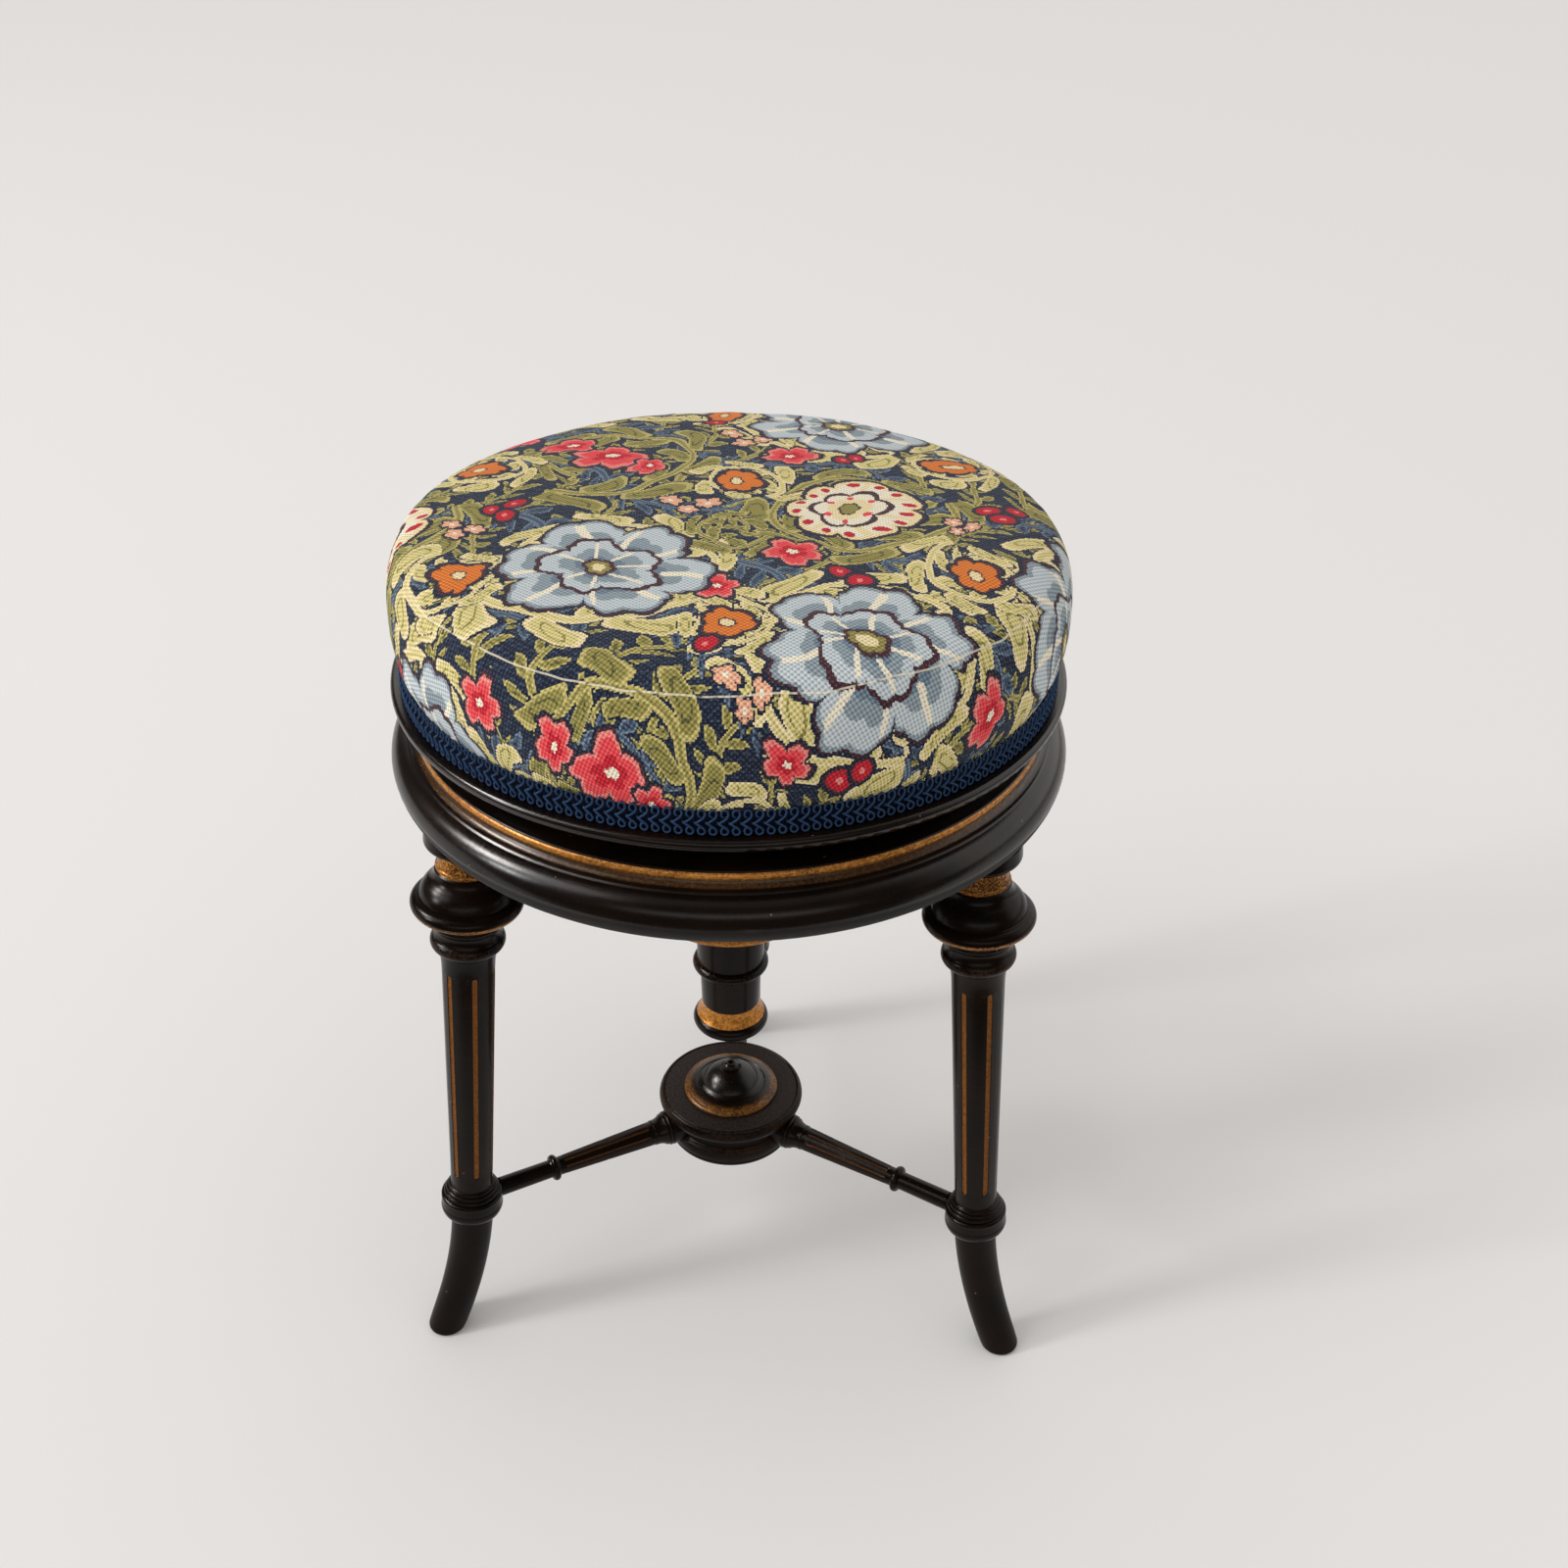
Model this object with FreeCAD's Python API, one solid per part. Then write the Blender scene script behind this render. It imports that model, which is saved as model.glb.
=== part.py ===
import FreeCAD, Part
import math
import os

# Piano stool: round screw seat on a three-legged turned frame.
# Millimetres, +Z up, origin on the floor under the axis of the screw.

os.makedirs("parts", exist_ok=True)
V = FreeCAD.Vector
UP = V(0, 0, 1)

# Heights, each counted from the one before
FRAME_BOTTOM = 352.0
FRAME_THICKNESS = 38.0
SEAT_LIFT = 1.8
BOARD_THICKNESS = 32.4
SHOULDER_DROP = 11.6
BRAID_HEIGHT = 12.5
CUSHION_RISE = 71.0
JOINT_Z = 86.0
SPOKE_RISE = 9.7
HUB_DROP = 15.7
HUB_THICKNESS = 31.6
DOME_RISE = 14.7
BUTTON_RISE = 4.3
BOSS_CLEARANCE = 32.9
FRAME_TOP = FRAME_BOTTOM + FRAME_THICKNESS
BOARD_BOTTOM = FRAME_TOP + SEAT_LIFT
BOARD_TOP = BOARD_BOTTOM + BOARD_THICKNESS
CROWN_TOP = BOARD_TOP + CUSHION_RISE
SPOKE_Z = JOINT_Z + SPOKE_RISE
HUB_BOTTOM = SPOKE_Z - HUB_DROP
HUB_TOP = HUB_BOTTOM + HUB_THICKNESS
DOME_TOP = HUB_TOP + DOME_RISE
BUTTON_TOP = DOME_TOP + BUTTON_RISE
BOSS_LENGTH = FRAME_BOTTOM - BUTTON_TOP - BOSS_CLEARANCE
BOSS_DRAWN_LENGTH = 188.5

# Clearances
SEAT_GAP = 0.3
RUNNING_GAP = 0.05
JOINERY_GAP = 0.1

# Frame ring, seat board and what is drawn over the board
FRAME_R = 180.0
BOARD_STEP_R = 166.2
COVER_THICKNESS = 1.8
COVER_SWELL = 5.0
CUSHION_CORNER = 16.3
SHOULDER_Z = BOARD_TOP - SHOULDER_DROP
COVER_SKIRT_R = BOARD_STEP_R + SEAT_GAP + COVER_THICKNESS
COVER_BULGE_R = COVER_SKIRT_R + COVER_SWELL
BRAID_BOTTOM = SHOULDER_Z + SEAT_GAP
BRAID_TOP = BRAID_BOTTOM + BRAID_HEIGHT

# Tacks
TACKS = 24
TACK_RISE = 6.4
TACK_LENGTH = 11.4
TACK_SHANK_R = 0.7
TACK_HEAD_R = 1.9
TACK_HEAD = 0.35
TACK_LIFT = 0.05
BRAID_INNER_R = COVER_SKIRT_R + TACK_LIFT + TACK_HEAD + 0.2

# Screw
THREAD_R = 11.0
THREAD_DEPTH = 1.5
THREAD_PITCH = 8.0
RISE = 100.0
TANG_R = 9.0
SPIGOT_R = 5.0
WASHER_R = 13.6
WASHER_THICKNESS = 3.0
AXIAL_PLAY = 0.1
NUT_WALL = 6.0
NUT_FLANGE_R = 36.0
NUT_FLANGE = 4.9
NUT_LIFT = 0.6
END_SCREW_R = 2.5
END_SCREW_HEAD_R = 8.0
END_SCREW_HEAD = 4.0
END_SCREW_LENGTH = 15.0
HOUSING_GAP = 0.4
BORE_BELOW_WASHER = 26.3
NUT_BODY_R = THREAD_R + NUT_WALL
NUT_BODY_BOTTOM = FRAME_BOTTOM + NUT_LIFT
NUT_TOP = FRAME_TOP - AXIAL_PLAY
WASHER_TOP = NUT_BODY_BOTTOM - SEAT_GAP - RISE
SPINDLE_END = WASHER_TOP + AXIAL_PLAY
SPIGOT_END = WASHER_TOP - WASHER_THICKNESS - AXIAL_PLAY
HOUSING_BORE_R = WASHER_R + HOUSING_GAP
HOUSING_BORE_BOTTOM = WASHER_TOP - BORE_BELOW_WASHER

# Seat plate and wood screws
PLATE_R = 44.0
PLATE_THICKNESS = 4.0
PLATE_BOTTOM = BOARD_BOTTOM + 0.2
PLATE_TOP = PLATE_BOTTOM + PLATE_THICKNESS
PLATE_SCREW_CIRCLE_R = 32.0
NUT_SCREW_CIRCLE_R = 27.0
HOUSING_SCREW_CIRCLE_R = 56.0
HOUSING_SCREW_SINK = 8.4
SCREW_SHANK_R = 2.1
SCREW_HEAD_R = 4.8
SCREW_HEAD_DEPTH = 2.7
SCREW_HOLE_R = SCREW_SHANK_R + SEAT_GAP
SCREW_POINT = 5.0
PLATE_SCREW_LENGTH = 22.0
NUT_SCREW_LENGTH = 24.0
HOUSING_SCREW_LENGTH = 30.0

# Legs
LEG_ANGLES = {"left": -153.174, "right": -33.174, "back": 86.826}
LEG_SPLAY = 3.939
LEG_INSET = 4.215
LEG_HEAD_R = 22.0
LEG_HEAD = 7.0
LEG_TENON_R = 9.0
LEG_TENON = 24.0
COLLAR_R = 17.5
LEG_FLOOR_R = FRAME_R - LEG_INSET
FLUTES = 6
FLUTE_PHASE = 23.7
FLUTE_CUTTER_R = 2.0
FLUTE_DEPTH = 1.0
SHAFT_LOW = (11.96, JOINT_Z + 23.7)
SHAFT_HIGH = (14.3, FRAME_BOTTOM - 89.0)
FLUTE_LOW = SHAFT_LOW[1] + 11.3
FLUTE_HIGH = SHAFT_HIGH[1] - 1.5
LEG_LEAN = math.tan(math.radians(LEG_SPLAY))

# Feet
FOOT_TOP_R = 12.0
FOOT_BOTTOM_R = 10.8
FOOT_SWEEP = 17.73
FOOT_SWEEP_POWER = 1.87
FOOT_SECTIONS = 8
FOOT_EDGE_R = 2.4
DOWEL_R = 4.0
DOWEL_HALF = 14.0

# Hub and spokes, whose turnings are counted from the hub and from the leg's collar
HUB_R = 38.2
DOME_R = 28.0
SPOKE_TENON_R = 4.0
SPOKE_HUB_TENON = 10.2
SPOKE_LEG_TENON = 8.3
SPOKE_FLUTES = 8
SPOKE_FLUTE_CUTTER_R = 1.2
SPOKE_FLUTE_DEPTH = 0.6
SPOKE_END_R = LEG_FLOOR_R - SPOKE_Z * LEG_LEAN - COLLAR_R
SPOKE_THICK = (7.3, HUB_R + 16.0)
SPOKE_THIN = (5.45, SPOKE_END_R - 36.7)
BUTTON_STEM_R = 1.8
BUTTON_STEM_BOTTOM = HUB_TOP - 13.6


def turned(path):
    """Solid of revolution about +Z. A step is (r, z) or (r, z, bulge) for an arc."""
    edges = []
    start = V(path[0][0], 0, path[0][1])
    for step in path[1:] + [path[0][:2]]:
        end = V(step[0], 0, step[1])
        bulge = step[2] if len(step) == 3 else 0.0
        along = end - start
        if bulge:
            side = V(along.z, 0, -along.x).normalize()
            middle = (start + end) * 0.5 + side * bulge
            edges.append(Part.Arc(start, middle, end).toShape())
        else:
            edges.append(Part.makeLine(start, end))
        start = end
    face = Part.Face(Part.Wire(edges))
    return face.revolve(V(0, 0, 0), UP, 360)


def raised(path, height, stretch=1.0):
    """Carries an outline up to a height, with its lengths and bulges stretched."""
    carried = []
    for radius, z, *bulge in path:
        carried.append((radius, height + z * stretch, *[b * stretch for b in bulge]))
    return carried


def rod(radius, low, high):
    return Part.makeCylinder(radius, high - low, V(0, 0, low))


def tube(inner, outer, low, high):
    return rod(outer, low, high).cut(rod(inner, low - 1, high + 1))


def turned_about_z(shape, angle):
    copy = shape.copy()
    copy.rotate(V(0, 0, 0), UP, angle)
    return copy


def ring_of(shape, count, phase=0.0):
    return [turned_about_z(shape, phase + 360.0 * i / count) for i in range(count)]


def moved(shape, offset):
    copy = shape.copy()
    copy.translate(offset)
    return copy


def placed_on_leg(shape, angle):
    """Carries a shape from the upright leg frame to a leg of the stool."""
    copy = shape.copy()
    copy.rotate(V(0, 0, 0), V(0, 1, 0), -LEG_SPLAY)
    copy.translate(V(LEG_FLOOR_R, 0, 0))
    return turned_about_z(copy, angle)


def placed_on_spoke(shape, angle):
    """Carries a shape turned about +Z to the level axis of a spoke."""
    copy = shape.copy()
    copy.rotate(V(0, 0, 0), V(0, 1, 0), 90)
    copy.translate(V(0, 0, SPOKE_Z))
    return turned_about_z(copy, angle)


def flute_cutters(low, high, start, end, cutter_r, depth, count, phase):
    """Round-ended cutters laid on a taper that runs from low to high, each (r, z)."""

    def on_taper(z):
        share = (z - low[1]) / (high[1] - low[1])
        return V(low[0] + share * (high[0] - low[0]) + cutter_r - depth, 0, z)

    a = on_taper(start)
    b = on_taper(end)
    cutter = Part.makeCylinder(cutter_r, (b - a).Length, a, b - a)
    cutter = cutter.fuse([Part.makeSphere(cutter_r, a), Part.makeSphere(cutter_r, b)])
    return ring_of(cutter, count, phase)


def countersunk_screw(length):
    """Wood screw with its flat head at z = 0 and its point at +Z."""
    return turned([
        (0, 0), (SCREW_HEAD_R, 0), (SCREW_SHANK_R, SCREW_HEAD_DEPTH),
        (SCREW_SHANK_R, length - SCREW_POINT), (0.3, length), (0, length),
    ]).cut(Part.makeBox(2 * SCREW_HEAD_R, 1.0, 1.0, V(-SCREW_HEAD_R, -0.5, -0.1)))


def countersunk_hole(length):
    gap = SCREW_HOLE_R - SCREW_SHANK_R
    return turned([
        (0, -1), (SCREW_HEAD_R + gap, -1), (SCREW_HEAD_R + gap, 0),
        (SCREW_HOLE_R, SCREW_HEAD_DEPTH), (SCREW_HOLE_R, length), (0, length),
    ])


def save(name, shape):
    shape = shape.removeSplitter() if len(shape.Solids) == 1 else shape
    if len(shape.Solids) == 1:
        shape = shape.Solids[0]
    assert shape.isValid(), name
    shape.exportStep("parts/" + name + ".step")
    print(name, len(shape.Solids), round(shape.Volume / 1000, 2), "cm3")


# Seat cover and stuffing
def dome_bulge(radius, rise):
    """Bulge of the arc from a rim to the top of a spherical dome."""
    sphere = (radius ** 2 + rise ** 2) / (2 * rise)
    return sphere * (1 - math.cos(math.asin(radius / sphere) / 2))


def cushion_form(inset, bottom):
    side = COVER_BULGE_R - inset
    rim = V(COVER_BULGE_R - CUSHION_CORNER - inset * 0.5, 0, CROWN_TOP - 7.7 - inset)
    top = CROWN_TOP - inset
    return turned([
        (0, bottom), (COVER_SKIRT_R - inset, bottom), (COVER_SKIRT_R - inset, BOARD_TOP + 0.8),
        (side, BOARD_TOP + 24.2, 1.6), (side - 0.8, CROWN_TOP - 26.7, 0.35),
        (rim.x, rim.z, 3.9 - inset * 0.2),
        (0, top, dome_bulge(rim.x, top - rim.z)),
    ])


cover_inside = cushion_form(COVER_THICKNESS, BRAID_BOTTOM - 1)
seat_cover = cushion_form(0.0, BRAID_BOTTOM).cut(cover_inside)
seat_stuffing = cushion_form(COVER_THICKNESS + SEAT_GAP, BOARD_TOP)

# Braid
gimp_braid = turned([
    (BRAID_INNER_R, BRAID_BOTTOM), (BRAID_INNER_R + 3.1, BRAID_BOTTOM),
    (BRAID_INNER_R + 3.3, BRAID_BOTTOM + 1.1, 0.1), (BRAID_INNER_R + 1.5, BRAID_TOP - 0.8, 0.5),
    (BRAID_INNER_R + 1.1, BRAID_TOP, 0.1), (BRAID_INNER_R, BRAID_TOP),
])

# Seat board
seat_board = turned([
    (0, BOARD_BOTTOM), (BOARD_STEP_R - 16.2, BOARD_BOTTOM),
    (BOARD_STEP_R - 9.2, SHOULDER_Z - 14.1, 2.0), (BOARD_STEP_R - 8.4, SHOULDER_Z - 13.1),
    (BOARD_STEP_R + 4.6, SHOULDER_Z - 6.6, -2.6), (BOARD_STEP_R + 5.8, SHOULDER_Z - 6.3),
    (BOARD_STEP_R + 10.1, SHOULDER_Z - 3.4, 1.3), (BOARD_STEP_R + 8.4, SHOULDER_Z, 0.9),
    (BOARD_STEP_R, SHOULDER_Z), (BOARD_STEP_R, BOARD_TOP), (0, BOARD_TOP),
])
seat_board = seat_board.cut(rod(PLATE_R + SEAT_GAP, BOARD_BOTTOM - 1, PLATE_TOP))

# Tacks
tack_z = SHOULDER_Z + TACK_RISE
head_r = COVER_SKIRT_R + TACK_LIFT
tip_r = head_r + TACK_LIFT - TACK_LENGTH
tack_head = Part.makeCylinder(TACK_HEAD_R, TACK_HEAD, V(head_r, 0, tack_z), V(1, 0, 0))
tack_shank = Part.makeCone(0.1, TACK_SHANK_R, TACK_LENGTH, V(tip_r, 0, tack_z), V(1, 0, 0))
cover_tacks = Part.makeCompound(ring_of(tack_head.fuse(tack_shank), TACKS, 7.5))

# Seat plate and its screws
plate_hole = moved(countersunk_hole(6.0), V(PLATE_SCREW_CIRCLE_R, 0, PLATE_BOTTOM))
seat_plate = tube(TANG_R + RUNNING_GAP, PLATE_R, PLATE_BOTTOM, PLATE_TOP)
seat_plate = seat_plate.cut(ring_of(plate_hole, 4, 45))
plate_screw = moved(countersunk_screw(PLATE_SCREW_LENGTH), V(PLATE_SCREW_CIRCLE_R, 0, PLATE_BOTTOM))
plate_screws = Part.makeCompound(ring_of(plate_screw, 4, 45))

# Spindle with its thread, the neck above it and the spigot below it
THREAD_ROOT_R = THREAD_R - THREAD_DEPTH
NECK_BOTTOM = PLATE_BOTTOM - 7.0
spindle = turned([
    (0, SPIGOT_END), (SPIGOT_R, SPIGOT_END), (SPIGOT_R, SPINDLE_END),
    (THREAD_R - 1.5, SPINDLE_END), (THREAD_R, SPINDLE_END + 1.5), (THREAD_R, NECK_BOTTOM),
    (THREAD_ROOT_R - 0.2, NECK_BOTTOM + 1.3), (THREAD_ROOT_R - 0.2, PLATE_BOTTOM - 1.5),
    (THREAD_R, PLATE_BOTTOM - 1.5), (THREAD_R, PLATE_BOTTOM), (TANG_R, PLATE_BOTTOM),
    (TANG_R, PLATE_TOP - 0.1), (0, PLATE_TOP - 0.1),
])
thread_low = SPINDLE_END - THREAD_PITCH
thread_high = NECK_BOTTOM + 3.0
helix = Part.makeHelix(THREAD_PITCH, thread_high - thread_low, THREAD_ROOT_R)
helix.translate(V(0, 0, thread_low))
groove_corners = [
    V(THREAD_ROOT_R, 0, thread_low - 1.4), V(THREAD_R + 1.0, 0, thread_low - 2.6),
    V(THREAD_R + 1.0, 0, thread_low + 2.6), V(THREAD_ROOT_R, 0, thread_low + 1.4),
]
groove_outline = Part.makePolygon(groove_corners + groove_corners[:1])
groove = Part.Wire(helix.Edges).makePipeShell([groove_outline], True, True)
spindle = spindle.cut(groove)
spindle = max(spindle.Solids, key=lambda s: s.Volume)
END_HOLE_TOP = SPIGOT_END + END_SCREW_LENGTH + 1.0
spindle = spindle.cut(rod(END_SCREW_R + RUNNING_GAP, SPIGOT_END - 1, END_HOLE_TOP))

end_screw_low = SPIGOT_END - END_SCREW_HEAD
spindle_end_screw = turned([
    (0, end_screw_low), (END_SCREW_HEAD_R - 1.5, end_screw_low),
    (END_SCREW_HEAD_R, end_screw_low + 1.5, 0.3), (END_SCREW_HEAD_R, SPIGOT_END),
    (END_SCREW_R, SPIGOT_END), (END_SCREW_R, SPIGOT_END + END_SCREW_LENGTH),
    (0, SPIGOT_END + END_SCREW_LENGTH),
])
slot = Part.makeBox(20.0, 1.4, 1.6, V(-10.0, -0.7, end_screw_low - 0.1))
spindle_end_screw = spindle_end_screw.cut(slot)
stop_washer = tube(
    SPIGOT_R + RUNNING_GAP, WASHER_R, WASHER_TOP - WASHER_THICKNESS, WASHER_TOP)

# Screw nut and its screws
nut_hole = countersunk_hole(8.0)
nut_hole.rotate(V(0, 0, 0), V(1, 0, 0), 180)
nut_hole.translate(V(NUT_SCREW_CIRCLE_R, 0, NUT_TOP))
flange_z = NUT_TOP - NUT_FLANGE
screw_nut = rod(NUT_BODY_R, NUT_BODY_BOTTOM, flange_z)
screw_nut = screw_nut.fuse(rod(NUT_FLANGE_R, flange_z, NUT_TOP))
screw_nut = screw_nut.cut(rod(THREAD_R + RUNNING_GAP, FRAME_BOTTOM, FRAME_TOP + 1))
screw_nut = screw_nut.cut(ring_of(nut_hole, 4, 45))
nut_screw = countersunk_screw(NUT_SCREW_LENGTH)
nut_screw.rotate(V(0, 0, 0), V(1, 0, 0), 180)
nut_screw.translate(V(NUT_SCREW_CIRCLE_R, 0, NUT_TOP))
nut_screws = Part.makeCompound(ring_of(nut_screw, 4, 45))

# Frame
base_top = turned([
    (0, FRAME_BOTTOM), (FRAME_R - 13.2, FRAME_BOTTOM), (FRAME_R, FRAME_BOTTOM + 15.2, 3.3),
    (FRAME_R - 8.9, FRAME_TOP - 10.2, 2.9), (FRAME_R - 9.8, FRAME_TOP - 9.4),
    (FRAME_R - 14.4, FRAME_TOP - 6.0, -0.9), (FRAME_R - 14.2, FRAME_TOP - 1.4, 1.1),
    (FRAME_R - 13.8, FRAME_TOP - 1.1), (FRAME_R - 13.8, FRAME_TOP - 0.5),
    (FRAME_R - 14.4, FRAME_TOP, 0.15), (0, FRAME_TOP),
])
base_top = base_top.cut([
    rod(NUT_BODY_R + SEAT_GAP, FRAME_BOTTOM - 1, flange_z + 1),
    rod(NUT_FLANGE_R + SEAT_GAP, flange_z, FRAME_TOP + 1),
])

# Housing that hangs below the frame, its outline stretched from the length it is drawn for
boss_stretch = BOSS_LENGTH / BOSS_DRAWN_LENGTH
boss = turned(raised([
    (0, -BOSS_DRAWN_LENGTH), (18.2, -BOSS_DRAWN_LENGTH), (20.4, -179.8, 2.9),
    (17.1, -170.0, -1.1), (17.9, -145.8),
    (18.8, -145.5), (18.8, -138.9, 3.4), (19.5, -138.6), (20.1, -106.0), (21.6, -105.4),
    (21.6, -101.6, 1.5), (23.0, -101.0), (44.9, -97.7, -1.2), (45.8, -89.4, 3.7),
    (36.0, -80.0, -2.4), (29.5, -52.0, -2.2), (31.0, -51.0), (31.0, -46.0, 2.2),
    (29.5, -45.0), (44.0, -14.0, -4.0), (46.5, -13.0), (61.0, -7.0, 1.6),
    (63.5, -6.0), (63.5, 0), (0, 0),
], FRAME_BOTTOM, boss_stretch))
boss = boss.cut(rod(HOUSING_BORE_R, HOUSING_BORE_BOTTOM, FRAME_BOTTOM + 1))
housing_screw_place = V(HOUSING_SCREW_CIRCLE_R, 0, FRAME_BOTTOM - HOUSING_SCREW_SINK * boss_stretch)
boss_hole = moved(countersunk_hole(14.0), housing_screw_place)
boss = boss.cut(ring_of(boss_hole, 4, 30))
boss_screw = moved(countersunk_screw(HOUSING_SCREW_LENGTH), housing_screw_place)
boss_screws = Part.makeCompound(ring_of(boss_screw, 4, 30))

# Leg, upright in its own frame
leg_collar = raised([
    (0, 0), (12.3, 0), (COLLAR_R, 8.6, 2.2), (COLLAR_R, 13.6), (COLLAR_R - 1.0, 15.9, 0.5),
    (COLLAR_R - 1.9, 16.1), (COLLAR_R - 2.2, 18.5, 0.5), (COLLAR_R - 2.9, 18.7),
    (COLLAR_R - 3.3, 20.6, 0.4), (COLLAR_R - 4.1, 20.8), (COLLAR_R - 4.6, 22.4, 0.3),
], JOINT_Z)
leg_capital = raised([
    (15.7, -76.8, -0.35), (16.6, -75.2, -0.3), (18.4, -67.2, 2.5), (19.1, -59.0, -1.5),
    (19.6, -56.0, 0.8), (21.0, -55.4), (28.3, -49.6, -0.8), (25.9, -41.5, 2.7),
    (25.1, -41.2), (25.0, -40.0), (20.6, -32.4, 0.7), (16.8, -25.8, -0.9),
    (15.6, -24.8), (15.4, -22.0, 0.9), (14.6, -11.0, -0.5), (20.4, -10.6),
    (LEG_HEAD_R, -LEG_HEAD, 0.6), (LEG_HEAD_R, 4.0), (0, 4.0),
], FRAME_BOTTOM)
leg = turned(leg_collar + [SHAFT_LOW + (-0.3,), SHAFT_HIGH] + leg_capital)
leg = leg.cut(flute_cutters(
    SHAFT_LOW, SHAFT_HIGH, FLUTE_LOW, FLUTE_HIGH,
    FLUTE_CUTTER_R, FLUTE_DEPTH, FLUTES, FLUTE_PHASE))
leg = leg.cut(rod(DOWEL_R + JOINERY_GAP, JOINT_Z - 1, JOINT_Z + DOWEL_HALF + 0.5))
tenon_root = FRAME_BOTTOM - LEG_HEAD
leg_tenon = rod(LEG_TENON_R, tenon_root, FRAME_BOTTOM + LEG_TENON)
leg_mortise = rod(LEG_TENON_R + JOINERY_GAP, tenon_root, FRAME_BOTTOM + LEG_TENON + 0.5)
above_frame_bottom = Part.makeBox(800, 800, 100, V(-400, -400, FRAME_BOTTOM))
legs = {}
for side, angle in LEG_ANGLES.items():
    body = placed_on_leg(leg, angle).cut(above_frame_bottom)
    legs[side] = body.fuse(placed_on_leg(leg_tenon, angle))
    base_top = base_top.cut(placed_on_leg(leg_mortise, angle))

# Foot, swept outward from the leg axis
sections = []
for i in range(FOOT_SECTIONS):
    down = i / (FOOT_SECTIONS - 1)
    z = JOINT_Z * math.cos(math.radians(LEG_SPLAY)) * (1 - down)
    x = LEG_FLOOR_R - z * LEG_LEAN + FOOT_SWEEP * down ** FOOT_SWEEP_POWER
    sweep_slope = FOOT_SWEEP * FOOT_SWEEP_POWER * down ** (FOOT_SWEEP_POWER - 1) / JOINT_Z
    lean = math.atan(LEG_LEAN + sweep_slope)
    if i == FOOT_SECTIONS - 1:
        lean = 0.0
    radius = FOOT_TOP_R + down * (FOOT_BOTTOM_R - FOOT_TOP_R)
    circle = Part.makeCircle(radius, V(x, 0, z), V(-math.sin(lean), 0, math.cos(lean)))
    sections.append(Part.Wire(circle))
foot = Part.makeLoft(sections, True)
sole_edge = [e for e in foot.Edges if e.BoundBox.ZMax < 0.01]
foot = foot.makeFillet(FOOT_EDGE_R, sole_edge)
dowel_hole = placed_on_leg(
    rod(DOWEL_R + JOINERY_GAP, JOINT_Z - DOWEL_HALF - 0.5, JOINT_Z + 1), 0)
foot = foot.cut(dowel_hole)
feet = {side: turned_about_z(foot, angle) for side, angle in LEG_ANGLES.items()}
dowel = rod(DOWEL_R, JOINT_Z - DOWEL_HALF, JOINT_Z + DOWEL_HALF)
foot_dowels = Part.makeCompound(
    [placed_on_leg(dowel, angle) for angle in LEG_ANGLES.values()])

# Hub of the stretchers
def hub_form(grow):
    side = HUB_R + grow
    return turned([
        (0, HUB_BOTTOM - grow), (HUB_R - 2.7, HUB_BOTTOM - grow), (side - 0.2, HUB_BOTTOM + 4.0, 1.0),
        (side, HUB_BOTTOM + 11.6, 0.6), (side - 1.0, HUB_BOTTOM + 12.6),
        (side - 0.8, HUB_BOTTOM + 13.6, 0.3), (side - 1.6, HUB_BOTTOM + 14.2),
        (side + 0.6, HUB_TOP - 8.0, -1.6), (side + 4.2, HUB_TOP - 7.6),
        (side + 4.8, HUB_TOP - 1.4, 1.2), (HUB_R + 3.2, HUB_TOP, 0.3),
        (HUB_R + 2.7, HUB_TOP - 0.6, -0.1), (HUB_R + 2.0, HUB_TOP, -0.1), (0, HUB_TOP),
    ])


stretcher_hub = hub_form(0.0)
stem_hole = rod(BUTTON_STEM_R + JOINERY_GAP, BUTTON_STEM_BOTTOM - 0.5, DOME_TOP + 1)
stretcher_hub = stretcher_hub.cut(stem_hole)

# Spokes
spoke = turned([
    (0, HUB_R - 4.2), (10.6, HUB_R - 4.2), (10.6, HUB_R + 4.4), (9.9, HUB_R + 5.0),
    (10.0, HUB_R + 6.8, 0.5), (9.2, HUB_R + 7.4), (9.0, HUB_R + 9.0, 0.5),
    (7.7, HUB_R + 15.2, -0.5), SPOKE_THICK, SPOKE_THIN, (5.7, SPOKE_END_R - 36.1),
    (5.7, SPOKE_END_R - 31.7, 2.1), (5.3, SPOKE_END_R - 31.1), (5.5, SPOKE_END_R + 4.3),
    (0, SPOKE_END_R + 4.3),
])
spoke = spoke.cut(flute_cutters(
    SPOKE_THICK, SPOKE_THIN, SPOKE_THICK[1] + 3.8, SPOKE_THIN[1] - 4.0,
    SPOKE_FLUTE_CUTTER_R, SPOKE_FLUTE_DEPTH, SPOKE_FLUTES, 22.5))
tenon_start = HUB_R - SPOKE_HUB_TENON
tenon_end = SPOKE_END_R + SPOKE_LEG_TENON
spoke_tenon = rod(SPOKE_TENON_R, tenon_start, tenon_end)
spoke_mortise = rod(SPOKE_TENON_R + JOINERY_GAP, tenon_start - 0.5, tenon_end + 0.5)
spoke_reach = rod(COLLAR_R + RUNNING_GAP, JOINT_Z, JOINT_Z + 24.0)
spokes = {}
for side, angle in LEG_ANGLES.items():
    body = placed_on_spoke(spoke, angle).cut(hub_form(RUNNING_GAP))
    body = body.cut(placed_on_leg(spoke_reach, angle))
    spokes[side] = body.fuse(placed_on_spoke(spoke_tenon, angle))
    mortise = placed_on_spoke(spoke_mortise, angle)
    stretcher_hub = stretcher_hub.cut(mortise)
    legs[side] = legs[side].cut(mortise)

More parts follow.
